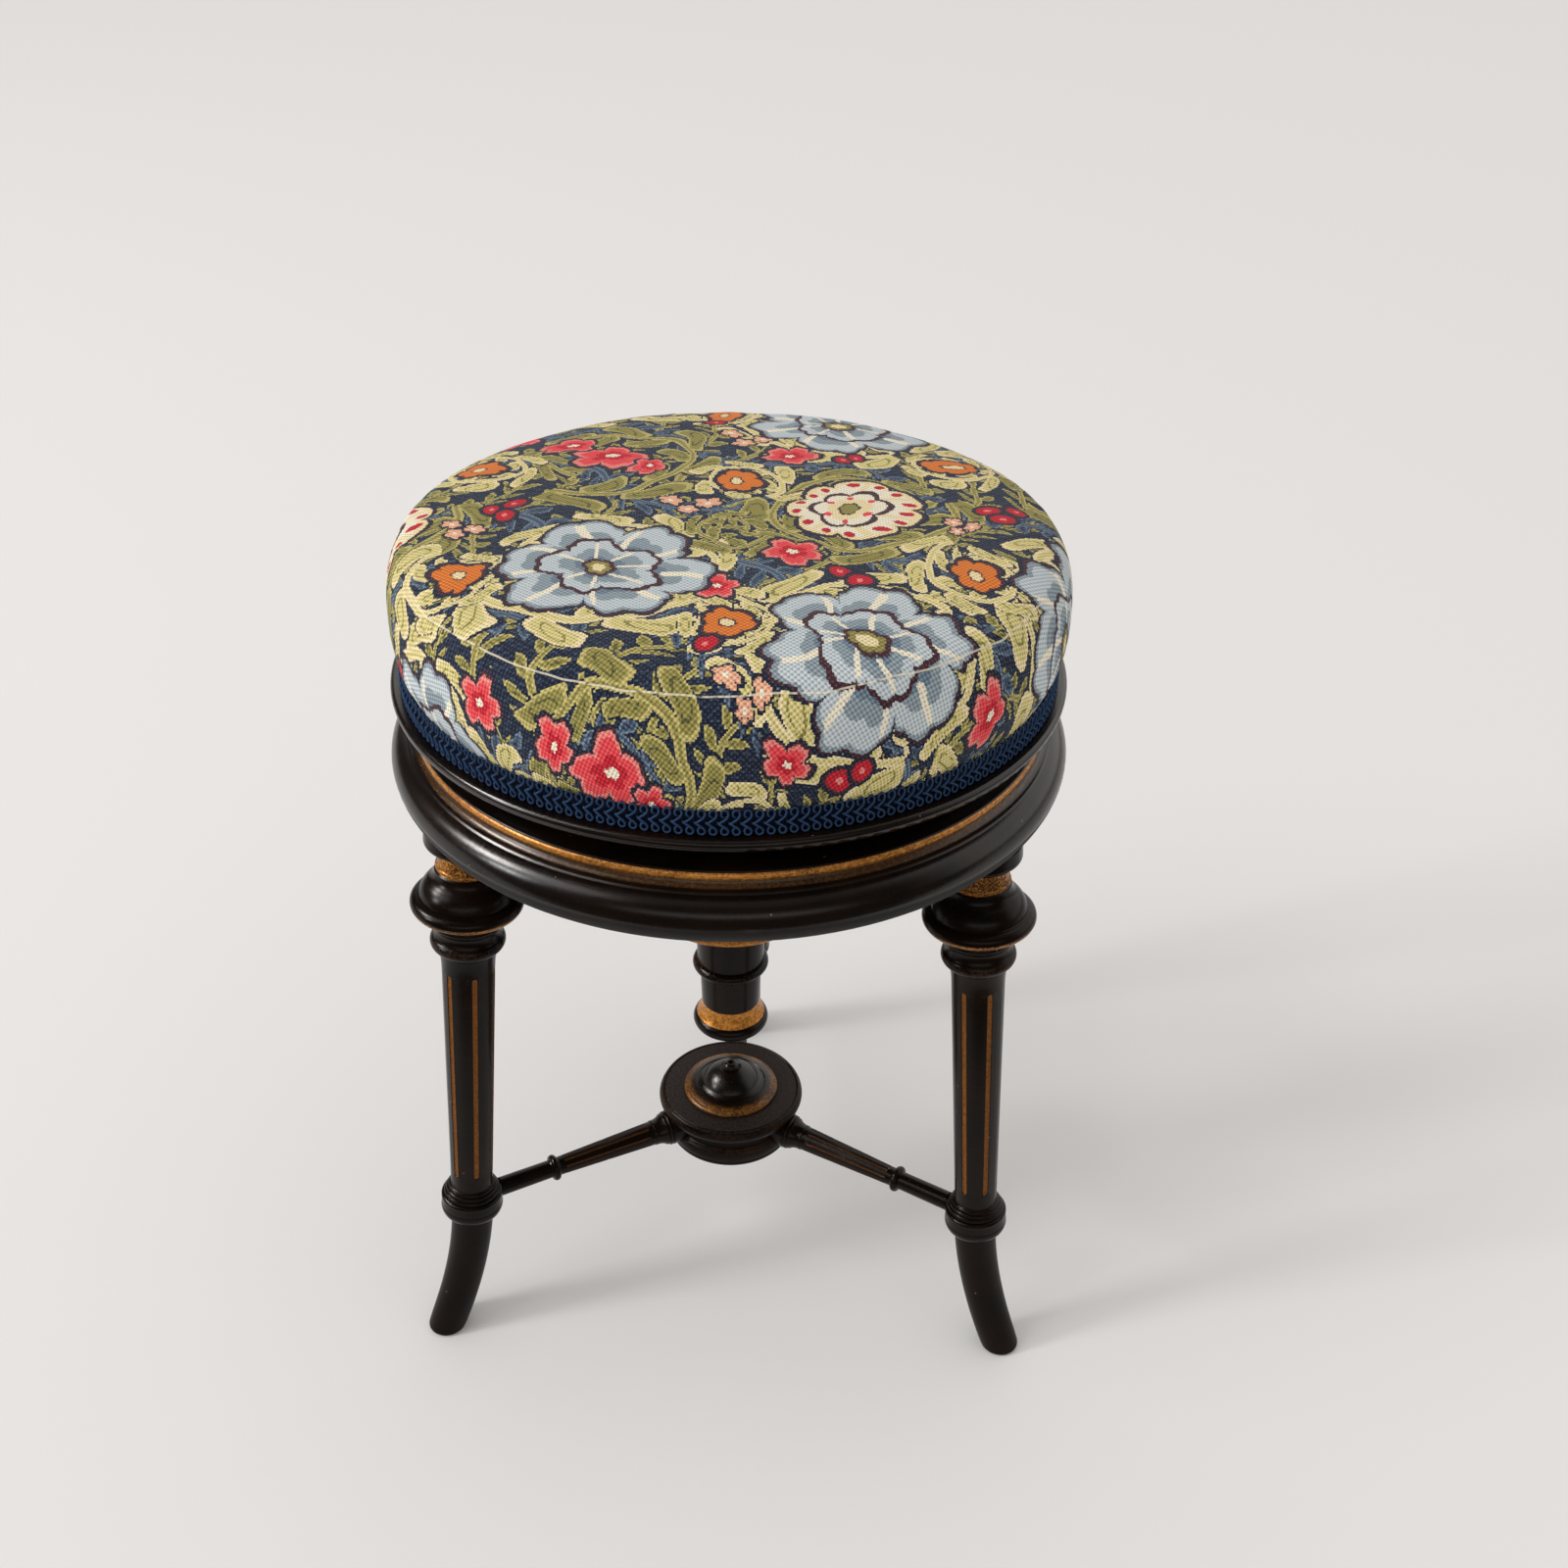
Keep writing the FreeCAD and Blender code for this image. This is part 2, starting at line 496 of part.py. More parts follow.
# Cap of the hub
hub_dome = turned([
    (0, HUB_TOP), (DOME_R - 0.2, HUB_TOP), (DOME_R, HUB_TOP + 2.0, 0.7),
    (DOME_R - 1.6, HUB_TOP + 2.7, 0.2), (DOME_R - 6.8, HUB_TOP + 4.8, 0.25),
    (DOME_R - 7.4, HUB_TOP + 4.4), (DOME_R - 11.4, HUB_TOP + 6.8, -0.4),
    (6.6, DOME_TOP + 0.6, 1.3), (5.4, DOME_TOP, -0.2), (0, DOME_TOP),
])
hub_dome = hub_dome.cut(stem_hole)
hub_button = turned([
    (0, BUTTON_STEM_BOTTOM), (BUTTON_STEM_R, BUTTON_STEM_BOTTOM), (BUTTON_STEM_R, DOME_TOP),
    (4.0, DOME_TOP), (4.5, BUTTON_TOP - 2.0, 0.4), (1.6, BUTTON_TOP, 0.8),
    (1.3, BUTTON_TOP - 1.4), (0, BUTTON_TOP - 1.4),
])

save("seat_cover", seat_cover)
save("seat_stuffing", seat_stuffing)
save("gimp_braid", gimp_braid)
save("cover_tacks", cover_tacks)
save("seat_board", seat_board)
save("seat_plate", seat_plate)
save("plate_screws", plate_screws)
save("spindle", spindle)
save("spindle_end_screw", spindle_end_screw)
save("stop_washer", stop_washer)
save("screw_nut", screw_nut)
save("nut_screws", nut_screws)
save("base_top", base_top)
save("boss", boss)
save("boss_screws", boss_screws)
for side in LEG_ANGLES:
    save("leg_" + side, legs[side])
    save("foot_" + side, feet[side])
    save("stretcher_" + side, spokes[side])
save("foot_dowels", foot_dowels)
save("stretcher_hub", stretcher_hub)
save("hub_dome", hub_dome)
save("hub_button", hub_button)
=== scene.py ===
import math
import random

import bpy
from mathutils import Matrix, Vector


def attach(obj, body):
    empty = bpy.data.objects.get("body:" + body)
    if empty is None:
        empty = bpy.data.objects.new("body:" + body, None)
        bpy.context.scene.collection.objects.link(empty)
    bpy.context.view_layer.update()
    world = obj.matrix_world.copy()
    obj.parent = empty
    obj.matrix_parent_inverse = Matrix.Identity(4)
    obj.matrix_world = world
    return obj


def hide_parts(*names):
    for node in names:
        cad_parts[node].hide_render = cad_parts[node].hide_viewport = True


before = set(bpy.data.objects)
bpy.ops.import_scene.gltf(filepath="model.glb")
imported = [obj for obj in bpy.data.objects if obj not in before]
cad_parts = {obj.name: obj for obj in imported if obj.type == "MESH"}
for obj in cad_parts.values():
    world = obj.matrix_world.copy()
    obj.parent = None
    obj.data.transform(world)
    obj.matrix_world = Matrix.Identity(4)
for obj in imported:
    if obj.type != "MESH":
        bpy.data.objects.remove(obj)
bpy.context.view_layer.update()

MM = 0.001

# Sizes of the stool that the finishes follow, in millimetres and degrees. The end of a taper
# is (radius, place along the piece).
LEG_ANGLE = -33.174
LEG_SPLAY = 3.939
LEG_FLOOR_R = 175.785
SHAFT_LOW = (11.96, 109.7)
SHAFT_HIGH = (14.3, 263.0)
SHAFT_FLUTES = (119.0, 262.5)
SHAFT_FLUTE_DEPTH = 0.41
SPOKE_Z = 95.7
SPOKE_THICK = (7.3, 54.2)
SPOKE_THIN = (5.45, 115.0)
SPOKE_FLUTES = (57.0, 112.0)
SPOKE_FLUTE_DEPTH = 0.3
HUB_TOP = 111.4
RING_SIDE_LOW = 367.0
SPINDLE_CREST = (10.7, 11.3)

# Braid: lengths in millimetres
BRAID_R = 170.6
BRAID_LOW = 412.9
BRAID_HIGH = 425.4
BAND_SUNK = 1.3
BAND_SHORT = 1.6
BAND_THICK = 0.4
BRAID_LOOPS = 206
CORD_R = 170.7
CORD_THICK = 0.57
UPPER_LOOPS_Z = 424.0
LOWER_LOOPS_Z = 415.3
HANGING_SHARE = 0.86
BRAID_LEAN = 0.06
BRAID_MIDDLE = 419.0

# One turn of the gimp's cord as (right, up, out) from the loop's centre, in millimetres: the
# tail, the loop, then a short way behind the band to the next tail
LOOP = [
    (-2.9, -4.9, 0.1), (-1.8, -4.1, 0.5), (-0.4, -3.0, 0.6), (1.0, -1.8, 0.5), (1.65, -0.4, 0.3),
    (1.6, 0.9, 0.2), (0.8, 2.0, 0.1), (-0.4, 2.1, 0.1), (-1.35, 1.2, 0.1), (-1.6, -0.2, 0.0),
    (-1.2, -1.3, -0.1), (-0.3, -1.9, -0.4), (0.7, -2.2, -1.8), (1.7, -4.0, -1.8),
]

# Cushion: lengths in millimetres, and its rings as (radius, height) from the braid to the crown
COVER_SKIRT_R = 168.3
SKIRT_LIFT = 0.2
CUSHION_RINGS = [
    (168.2, 425.2), (169.8, 428.0), (172.2, 433.0), (174.2, 440.0), (175.1, 448.0),
    (174.9, 460.0), (174.1, 468.5), (171.6, 477.5), (166.4, 485.2), (157.8, 489.2),
    (140.0, 491.2), (110.0, 493.2), (75.0, 494.6), (40.0, 495.6), (12.0, 496.0),
]
CUSHION_SIDES = 160
CUSHION_GRID = 5.0
SIDE_FROM_Z = 430.0
SWELL = 0.7
TIGHTEN = 0.9
PRESSURE = 4.0
CLOTH_FRAMES = 20
HELD_BELOW = 427.0
HELD_FADE = 8.0
SIDE_R = 172.0
WAVE_SEED = 7
WAVE_COUNT = 7
WAVE_FROM_R = 150.0
WAVE_Z = 455.0
WAVE_SPREAD = 22.0
RIDGE = (168.0, 483.0)
RIDGE_HEIGHT = 0.5
RIDGE_SPREAD = 3.5
BACK_DROP = 0.005
DROP_FROM_Z = 430.0
DROP_FADE = 50.0

# The corner that the flat cloth was pulled over, and how far its side was stretched
CORNER_R = 156.0
CORNER_Z = 471.0
CORNER_BEND = 16.5
SIDE_STRETCH = 0.85

# Camera: its lens in millimetres, its place in metres and its angles in degrees
LENS = 41.625
CAMERA_PLACE = (0.0, -0.84449, 0.86757)
CAMERA_PITCH = 32.376
CAMERA_PAN = 1.666
CAMERA_ROLL = 0.8
CAMERA_SHIFT = 0.0058

# Floor and backdrop: lengths in metres
FLOOR_SIZE = 12.0
FLOOR_FRONT = 0.36
FLOOR_COLOUR = (0.860, 0.840, 0.828)
BACKDROP_COLOUR = (0.72, 0.705, 0.695)

# Light: places and sizes in metres, the sun's spread in degrees
WHITE = (1.0, 1.0, 1.0)
SUN_PLACE = (-2.0, -0.75, 2.1)
SUN_POWER = 0.58
SUN_SPREAD = 30.0
WINDOW_PLACE = (-4.85, -1.34, 2.25)
WINDOW_AIM = (0.0, 0.0, 0.35)
WINDOW_POWER = 92.0
WINDOW_COLOUR = (0.97, 0.99, 1.0)
WINDOW_SIZE = (0.9, 1.0)
ROOM_COLOUR = (1.0, 0.985, 0.965)
ROOM_LIGHT = 0.697

# What the lacquer and gilt mirror. An edge is (none, full) and a height (low, high), as parts
# of the direction looked in.
MIRRORED_COLOUR = (1.0, 0.96, 0.93)
MIRRORED_LEAST = 0.06
WALL_LIGHT = 1.40
WALL_SLANT = 0.85
WALL_EDGE = (0.22, 0.80)
WALL_FOOT = (-0.02, 0.12)
NEAR_WALL_EDGE = (-0.72, -0.92)
NEAR_WALL_HEIGHT = (0.14, 0.38)
NEAR_WALL_SOFT = 0.08
CEILING_EDGE = (0.72, 0.98)
CEILING_SHARE = 0.22
PANE_SHARE = 38.0
PANE_SIDE = (-0.790, 0.050, 0.611)
PANE_EDGE = (0.986, 0.996)


def activate(obj):
    bpy.ops.object.select_all(action="DESELECT")
    obj.select_set(True)
    bpy.context.view_layer.objects.active = obj


def settle(obj):
    """Puts the object's place into its mesh."""
    activate(obj)
    bpy.ops.object.transform_apply(location=True, rotation=True, scale=True)


def apply_modifiers(obj):
    activate(obj)
    for modifier in list(obj.modifiers):
        bpy.ops.object.modifier_apply(modifier=modifier.name)


# Node writing

class Graph:
    """A material's or group's nodes, written one call to a node."""

    def __init__(self, tree):
        self.tree = tree

    def node(self, kind, values=None, **settings):
        made = self.tree.nodes.new(kind)
        for key, value in settings.items():
            setattr(made, key, value)
        for key, value in (values or {}).items():
            self.plug(made.inputs[key], value)
        return made

    def plug(self, socket, value):
        if isinstance(value, bpy.types.NodeSocket):
            self.tree.links.new(value, socket)
        elif value is not None:
            if socket.type == "RGBA" and len(value) == 3:
                value = (*value, 1.0)
            socket.default_value = value

    def math(self, operation, a, b=None, c=None):
        made = self.node("ShaderNodeMath", operation=operation)
        for socket, value in zip(made.inputs, (a, b, c)):
            self.plug(socket, value)
        return made.outputs[0]

    def vector(self, operation, a, b=None, c=None, scale=None):
        made = self.node("ShaderNodeVectorMath", operation=operation)
        for socket, value in zip(made.inputs, (a, b, c)):
            self.plug(socket, value)
        if scale is not None:
            self.plug(made.inputs["Scale"], scale)
        return made.outputs["Value" if operation in ("LENGTH", "DOT_PRODUCT") else "Vector"]

    def split(self, vector):
        return self.node("ShaderNodeSeparateXYZ", {0: vector}).outputs

    def join(self, x, y, z=0.0):
        return self.node("ShaderNodeCombineXYZ", {0: x, 1: y, 2: z}).outputs[0]

    def mix(self, factor, a, b, blend="MIX"):
        made = self.node("ShaderNodeMix", data_type="RGBA", blend_type=blend)
        self.plug(made.inputs["Factor"], factor)
        self.plug(made.inputs[6], a)
        self.plug(made.inputs[7], b)
        return made.outputs[2]

    def fade(self, value, low, high):
        """0 below low, 1 above high, smooth between."""
        made = self.node("ShaderNodeMapRange", {"Value": value, "From Min": low, "From Max": high},
                         interpolation_type="SMOOTHSTEP")
        return made.outputs[0]

    def between(self, value, low, high, soft=0.25):
        """1 where value lies between low and high, with soft edges."""
        above = self.fade(value, low - soft, low + soft)
        return self.math("SUBTRACT", above, self.fade(value, high - soft, high + soft))

    def ramp(self, value, stops, interpolation="LINEAR"):
        made = self.node("ShaderNodeValToRGB", {0: value})
        made.color_ramp.interpolation = interpolation
        elements = made.color_ramp.elements
        while len(elements) < len(stops):
            elements.new(1.0)
        for element, (place, colour) in zip(elements, stops):
            element.position = place
            element.color = (*colour, 1.0)
        return made.outputs[0]

    def noise(self, vector, scale, detail=4.0, roughness=0.55):
        made = self.node("ShaderNodeTexNoise", {
            "Vector": vector, "Scale": scale, "Detail": detail, "Roughness": roughness})
        return made.outputs[0]

    def any_of(self, masks):
        total = masks[0]
        for mask in masks[1:]:
            total = self.math("MAXIMUM", total, mask)
        return total


def material(name):
    made = bpy.data.materials.new(name)
    made.use_nodes = True
    made.node_tree.nodes.clear()
    return made, Graph(made.node_tree)


def finish_material(graph, height=None, depth=None, **sockets):
    """Ends a material. Height is a relief that is depth metres high."""
    shader = graph.node("ShaderNodeBsdfPrincipled")
    for key, value in sockets.items():
        graph.plug(shader.inputs[key.replace("_", " ")], value)
    if height is not None:
        bump = graph.node("ShaderNodeBump", {"Height": height, "Distance": depth})
        graph.plug(shader.inputs["Normal"], bump.outputs[0])
    graph.node("ShaderNodeOutputMaterial", {"Surface": shader.outputs[0]})


def paint(obj, made):
    obj.data.materials.clear()
    obj.data.materials.append(made)


def millimetres(graph):
    place = graph.node("ShaderNodeTexCoord").outputs["Object"]
    return graph.vector("SCALE", place, scale=1000.0)


# Frames that the turned pieces are decorated in

def upright_frame(graph, place):
    """(height, radius) about the axis of the screw."""
    x, y, z = graph.split(place)
    return z, graph.vector("LENGTH", graph.join(x, y))


def folded_third(graph, place):
    """Turns any of the three legs onto +X and gives its x, y and z."""
    x, y, z = graph.split(place)
    turn = graph.math("SUBTRACT", graph.math("ARCTAN2", y, x), math.radians(LEG_ANGLE))
    turn = graph.math("WRAP", turn, math.pi / 3, -math.pi / 3)
    reach = graph.vector("LENGTH", graph.join(x, y))
    along = graph.math("MULTIPLY", reach, graph.math("COSINE", turn))
    across = graph.math("MULTIPLY", reach, graph.math("SINE", turn))
    return along, across, z


def leg_frame(graph, place):
    """(height, radius) about the axis of the nearest leg."""
    along, across, z = folded_third(graph, place)
    along = graph.math("SUBTRACT", along, LEG_FLOOR_R)
    lean = math.radians(LEG_SPLAY)
    x = graph.math("MULTIPLY_ADD", along, math.cos(lean), graph.math("MULTIPLY", z, math.sin(lean)))
    height = graph.math(
        "MULTIPLY_ADD", along, -math.sin(lean), graph.math("MULTIPLY", z, math.cos(lean)))
    return height, graph.vector("LENGTH", graph.join(x, across))


def spoke_frame(graph, place):
    """(reach from the hub, radius) about the axis of the nearest spoke."""
    along, across, z = folded_third(graph, place)
    return along, graph.vector("LENGTH", graph.join(across, graph.math("SUBTRACT", z, SPOKE_Z)))


def below_taper(graph, height, radius, low, high, start, end, least):
    """1 in the flutes, where the surface lies deeper than least below the taper."""
    slope = (high[0] - low[0]) / (high[1] - low[1])
    surface = graph.math("MULTIPLY_ADD", height, slope, low[0] - low[1] * slope)
    sunk = graph.math("SUBTRACT", surface, radius)
    in_flute = graph.fade(sunk, least - 0.06, least + 0.06)
    return graph.math("MULTIPLY", in_flute, graph.between(height, start, end, 0.6))


# Colours of the wood's finish
LACQUER = (0.0036, 0.0020, 0.0012)
LACQUER_WARM = (0.0072, 0.0034, 0.0016)
LACQUER_BROWN = (0.0130, 0.0062, 0.0030)
WORN_BROWN = (0.0420, 0.0190, 0.0090)
DUST_AND_SHEEN = (0.0430, 0.0310, 0.0250)
GILT = (0.700, 0.320, 0.070)
GILT_DEEP = (0.360, 0.120, 0.014)
GILT_RUBBED = (0.050, 0.020, 0.006)
FLUTE_GILT = (0.300, 0.100, 0.012)
CHIP = (0.30, 0.27, 0.24)

# Grain and wear of the lacquer, and the dust and painted sheen on top faces: noise scales to a
# millimetre, then shares
BROAD_SCALE = 0.035
FINE_SCALE = 0.6
GRAIN_SCALE = 2.2
GRAIN_SWIRL = 8.0
FLAKE_SCALE = 1.1
RUB_LEAST = 0.03
RUB_AT_EDGES = 0.55
DUST_AND_SHEEN_SHARE = 0.7
SPECK_SCALE = 0.16
SPECK_CHOSEN = 0.88
SPECK_SIZE = 0.075
SPECK_SHARE = 0.5
LACQUER_ROUGH = 0.17
LACQUER_RELIEF = 0.00008

# Colours of the other plain finishes
IRON_DARK = (0.045, 0.040, 0.036)
IRON_GREY = (0.110, 0.095, 0.080)
IRON_BRIGHT = (0.420, 0.400, 0.370)
BEECH_DARK = (0.34, 0.20, 0.10)
BEECH_LIGHT = (0.52, 0.35, 0.20)
BAND_NAVY = (0.001, 0.004, 0.016)
CORD_NAVY = (0.009, 0.027, 0.074)
CORD_BLUE = (0.026, 0.062, 0.140)


# Finishes

def rubbed(graph, height, broad, fine, worn_bands):
    """Where the lacquer is rubbed through, which is mostly along worn_bands of height."""
    rub = graph.math("MULTIPLY_ADD", fine, 0.6, graph.math("MULTIPLY", broad, 0.5))
    rub = graph.fade(rub, 0.50, 0.66)
    if not worn_bands:
        return graph.math("MULTIPLY", rub, RUB_LEAST)
    near_edge = graph.any_of([graph.between(height, a, b, 0.8) for a, b in worn_bands])
    return graph.math("MULTIPLY", rub, graph.math("MULTIPLY_ADD", near_edge, RUB_AT_EDGES, RUB_LEAST))


def speckled(graph, place, colour):
    """Lays small pale chips over a colour."""
    cells = graph.node("ShaderNodeTexVoronoi", {"Vector": place, "Scale": SPECK_SCALE})
    chosen = graph.math("GREATER_THAN", graph.split(cells.outputs["Color"])[0], SPECK_CHOSEN)
    near = graph.math("LESS_THAN", cells.outputs["Distance"], SPECK_SIZE)
    speck = graph.math("MULTIPLY", chosen, near)
    return graph.mix(graph.math("MULTIPLY", speck, SPECK_SHARE), colour, CHIP)


def lacquered(name, frame_of, gilt_bands=(), gilt_limit=None, gilt_soft=0.25, gilt_kept=0.0,
              worn_bands=(), flutes=None, flute_gilt=1.0, shine=0.09, dull=0.0,
              dust_and_sheen_above=None, matt_below=None):
    """Ebonised wood, gilt on bands of height along the piece, each (low, high, strength), and
    only at the radii within gilt_limit. More of the gilt is left where gilt_kept is higher."""
    made, graph = material(name)
    place = millimetres(graph)
    height, radius = frame_of(graph, place)
    broad = graph.noise(place, BROAD_SCALE, 3.0)
    fine = graph.noise(place, FINE_SCALE, 5.0, 0.6)
    flake = graph.noise(place, FLAKE_SCALE, 6.0, 0.7)
    swirl = graph.math("MULTIPLY", broad, GRAIN_SWIRL)
    grain = graph.noise(graph.join(radius, height, swirl), GRAIN_SCALE, 3.0)
    rub = rubbed(graph, height, broad, fine, worn_bands)

    colour = graph.mix(graph.fade(broad, 0.35, 0.7), LACQUER, LACQUER_WARM)
    colour = graph.mix(graph.fade(grain, 0.55, 0.78), colour, LACQUER_BROWN)
    colour = graph.mix(rub, colour, WORN_BROWN)
    # Dust and a painted sheen lighten the top face, in patches
    if dust_and_sheen_above:
        dust_and_sheen = graph.fade(height, dust_and_sheen_above - 0.3, dust_and_sheen_above)
        dust_and_sheen = graph.math("MULTIPLY", dust_and_sheen, DUST_AND_SHEEN_SHARE)
        colour = graph.mix(graph.math("MULTIPLY", dust_and_sheen, graph.fade(fine, 0.2, 0.7)), colour, DUST_AND_SHEEN)
    colour = speckled(graph, place, colour)
    roughness = graph.math("MULTIPLY_ADD", fine, 0.14, LACQUER_ROUGH + dull)
    roughness = graph.math("MULTIPLY_ADD", rub, 0.18, roughness)
    if matt_below:
        under = graph.math("SUBTRACT", 1.0, graph.fade(height, matt_below - 3.0, matt_below))
        roughness = graph.math("MULTIPLY_ADD", under, 0.40, roughness)

    metal = 0.0
    if gilt_bands:
        gilded = graph.any_of([graph.math("MULTIPLY", graph.between(height, low, high), strength)
                               for low, high, strength in gilt_bands])
        if gilt_limit:
            gilded = graph.math("MULTIPLY", gilded, graph.between(radius, *gilt_limit, gilt_soft))
        kept = graph.math("MULTIPLY_ADD", broad, 0.45, flake)
        kept = graph.fade(kept, 0.62 - gilt_kept, 0.76 - gilt_kept)
        gold = graph.mix(graph.fade(fine, 0.35, 0.7), GILT_DEEP, GILT)
        gold = graph.mix(kept, GILT_RUBBED, gold)
        colour = graph.mix(gilded, colour, gold)
        metal = graph.math("MULTIPLY", gilded, graph.math("MULTIPLY_ADD", kept, 0.28, 0.10))
        roughness = graph.math("MULTIPLY_ADD", gilded, 0.10, roughness)
    if flutes:
        grooved = below_taper(graph, height, radius, *flutes)
        patchy = graph.math("MULTIPLY_ADD", graph.fade(flake, 0.40, 0.62), 0.55, 0.35)
        patchy = graph.math("MULTIPLY", patchy, flute_gilt)
        colour = graph.mix(graph.math("MULTIPLY", grooved, patchy), colour, FLUTE_GILT)
        roughness = graph.math("MULTIPLY_ADD", grooved, 0.2, roughness)

    relief = graph.math("MULTIPLY_ADD", fine, 0.5, graph.math("MULTIPLY", grain, 0.25))
    finish_material(graph, relief, LACQUER_RELIEF, Base_Color=colour, Roughness=roughness,
                    Metallic=metal, Specular_IOR_Level=shine)
    return made


def iron():
    """Oiled iron, brighter on the crests that rub."""
    made, graph = material("oiled_iron")
    place = millimetres(graph)
    _, radius = upright_frame(graph, place)
    fine = graph.noise(place, 0.8, 5.0, 0.6)
    crest = graph.between(radius, *SPINDLE_CREST, 0.1)
    crest = graph.math("MULTIPLY", crest, graph.fade(fine, 0.3, 0.6))
    colour = graph.mix(crest, graph.mix(fine, IRON_DARK, IRON_GREY), IRON_BRIGHT)
    finish_material(graph, fine, 0.00008, Base_Color=colour, Metallic=0.85,
                    Roughness=graph.math("MULTIPLY_ADD", fine, 0.25, 0.30))
    return made


def bare_wood():
    """Unfinished beech."""
    made, graph = material("bare_wood")
    place = millimetres(graph)
    grain = graph.noise(graph.vector("MULTIPLY", place, (1.0, 1.0, 0.08)), 0.9, 4.0)
    colour = graph.mix(graph.fade(grain, 0.3, 0.7), BEECH_DARK, BEECH_LIGHT)
    finish_material(graph, grain, 0.0001, Base_Color=colour, Roughness=0.6)
    return made


# Colours of the woven cover
NAVY = (0.008, 0.014, 0.034)
NAVY_LIGHT = (0.055, 0.085, 0.140)
MAROON = (0.060, 0.020, 0.028)
OLIVE_DARK = (0.105, 0.102, 0.030)
OLIVE = (0.285, 0.245, 0.062)
GOLD_GREEN = (0.540, 0.450, 0.150)
STRAW = (0.920, 0.740, 0.400)
SLATE_DARK = (0.150, 0.210, 0.270)
SLATE = (0.265, 0.325, 0.362)
SLATE_PALE = (0.560, 0.615, 0.640)
CREAM = (0.950, 0.850, 0.650)
LEAF_GOLD = (0.730, 0.610, 0.235)
CORAL = (0.850, 0.060, 0.070)
PINK = (0.900, 0.230, 0.200)
RED = (0.560, 0.008, 0.022)
ORANGE = (0.760, 0.185, 0.022)
PEACH = (0.900, 0.440, 0.270)

GREEN_LEAF = (OLIVE_DARK, OLIVE, GOLD_GREEN)
STRAW_LEAF = (OLIVE, LEAF_GOLD, STRAW)
SLATE_LEAF = (NAVY, NAVY_LIGHT, SLATE_DARK)

# Millimetres from one repeat of the pattern to the next
REPEAT = (248.0, 264.0)

# Ticks of the navy ground, and the threads: the size of a picture cell of the weave, and the
# spacing of its dots
TICK_LENGTH = 7.0
TICK_ROW = 2.2
WEAVE_CELL = (0.9, 0.9, 1.0)
WARP_SPACING = 2.9
WEFT_SPACING = 2.6
FUZZ_SCALE = 1.4
FUZZ_SHARE = 0.7
THREAD_LIT = 0.85
THREAD_SUNK = 0.84
SUNK_NAVY = 0.56
LIT_SCREEN = 0.9
LIT_CREAM = 0.05
CLOTH_RELIEF = 0.0003

# How far the pattern is drawn out of shape, and over what distance
WOBBLE = 26.0
WOBBLE_SCALE = 0.022

# The loose thread: its place as a reach over the flat cloth, its ends as angles
LOOSE_REACH = 164.5
LOOSE_DRIFT = 5.0
LOOSE_ENDS = (-2.72, -0.50)
LOOSE_HALF_WIDTH = 0.42
LOOSE_SHARE = 0.65


def spot(graph, weave, centre):
    """The place on the cloth counted from the nearest repeat of a centre."""
    local = graph.vector("SUBTRACT", weave, (*centre, 0.0))
    high = (REPEAT[0] / 2, REPEAT[1] / 2, 1.0)
    low = (-REPEAT[0] / 2, -REPEAT[1] / 2, -1.0)
    return graph.vector("WRAP", local, high, low)


def polar(graph, local):
    x, y, _ = graph.split(local)
    return graph.math("ARCTAN2", y, x), graph.vector("LENGTH", local)


def leafy(graph, cloth, off, count, leaf, lean, width, stem, colours):
    """Lays a leafy stem over the cloth. Off is the distance from the stem, and count runs
    up by one at each leaf."""
    away = graph.math("ABSOLUTE", off)
    outer = graph.math("GREATER_THAN", off, 0.0)
    rise = graph.math("DIVIDE", away, leaf)
    step = graph.math("MULTIPLY_ADD", outer, 0.5, count)
    step = graph.math("MULTIPLY_ADD", rise, -lean, step)
    step = graph.math("SUBTRACT", graph.math("FRACT", step), 0.5)
    swell = graph.math("SINE", graph.math("MULTIPLY", graph.math("MINIMUM", rise, 1.0), math.pi))
    swell = graph.math("POWER", swell, 1.1)
    blade = graph.math("SUBTRACT", graph.math("MULTIPLY", swell, width),
                       graph.math("ABSOLUTE", step))
    form = graph.math("MAXIMUM", blade, graph.math("SUBTRACT", stem, rise))
    dark, middle, light = colours
    stops = [(0.0, NAVY), (0.50, light), (0.575, middle), (0.70, dark), (0.74, middle)]
    shade = graph.ramp(graph.math("ADD", form, 0.5), stops, "CONSTANT")
    cover = graph.math("MULTIPLY", graph.math("GREATER_THAN", form, -0.05),
                       graph.math("LESS_THAN", rise, 0.97))
    return graph.mix(cover, cloth, shade)


def scroll(graph, weave, cloth, centre, size, start, hand, leaf, count, colours, inward=0.5):
    """A leafy volute that winds in towards its centre by a share of its size."""
    angle, reach = polar(graph, spot(graph, weave, centre))
    wound = graph.math("MULTIPLY_ADD", angle, hand, math.radians(start))
    wound = graph.math("DIVIDE", graph.math("WRAP", wound, 2 * math.pi, 0.0), 2 * math.pi)
    line = graph.math("MULTIPLY_ADD", wound, -inward * size, size)
    off = graph.math("SUBTRACT", reach, line)
    length = graph.math("MULTIPLY_ADD", wound, -0.35 * leaf, leaf)
    number = graph.math("MULTIPLY", wound, float(count))
    return leafy(graph, cloth, off, number, length, 0.65, 0.36, 0.13, colours)


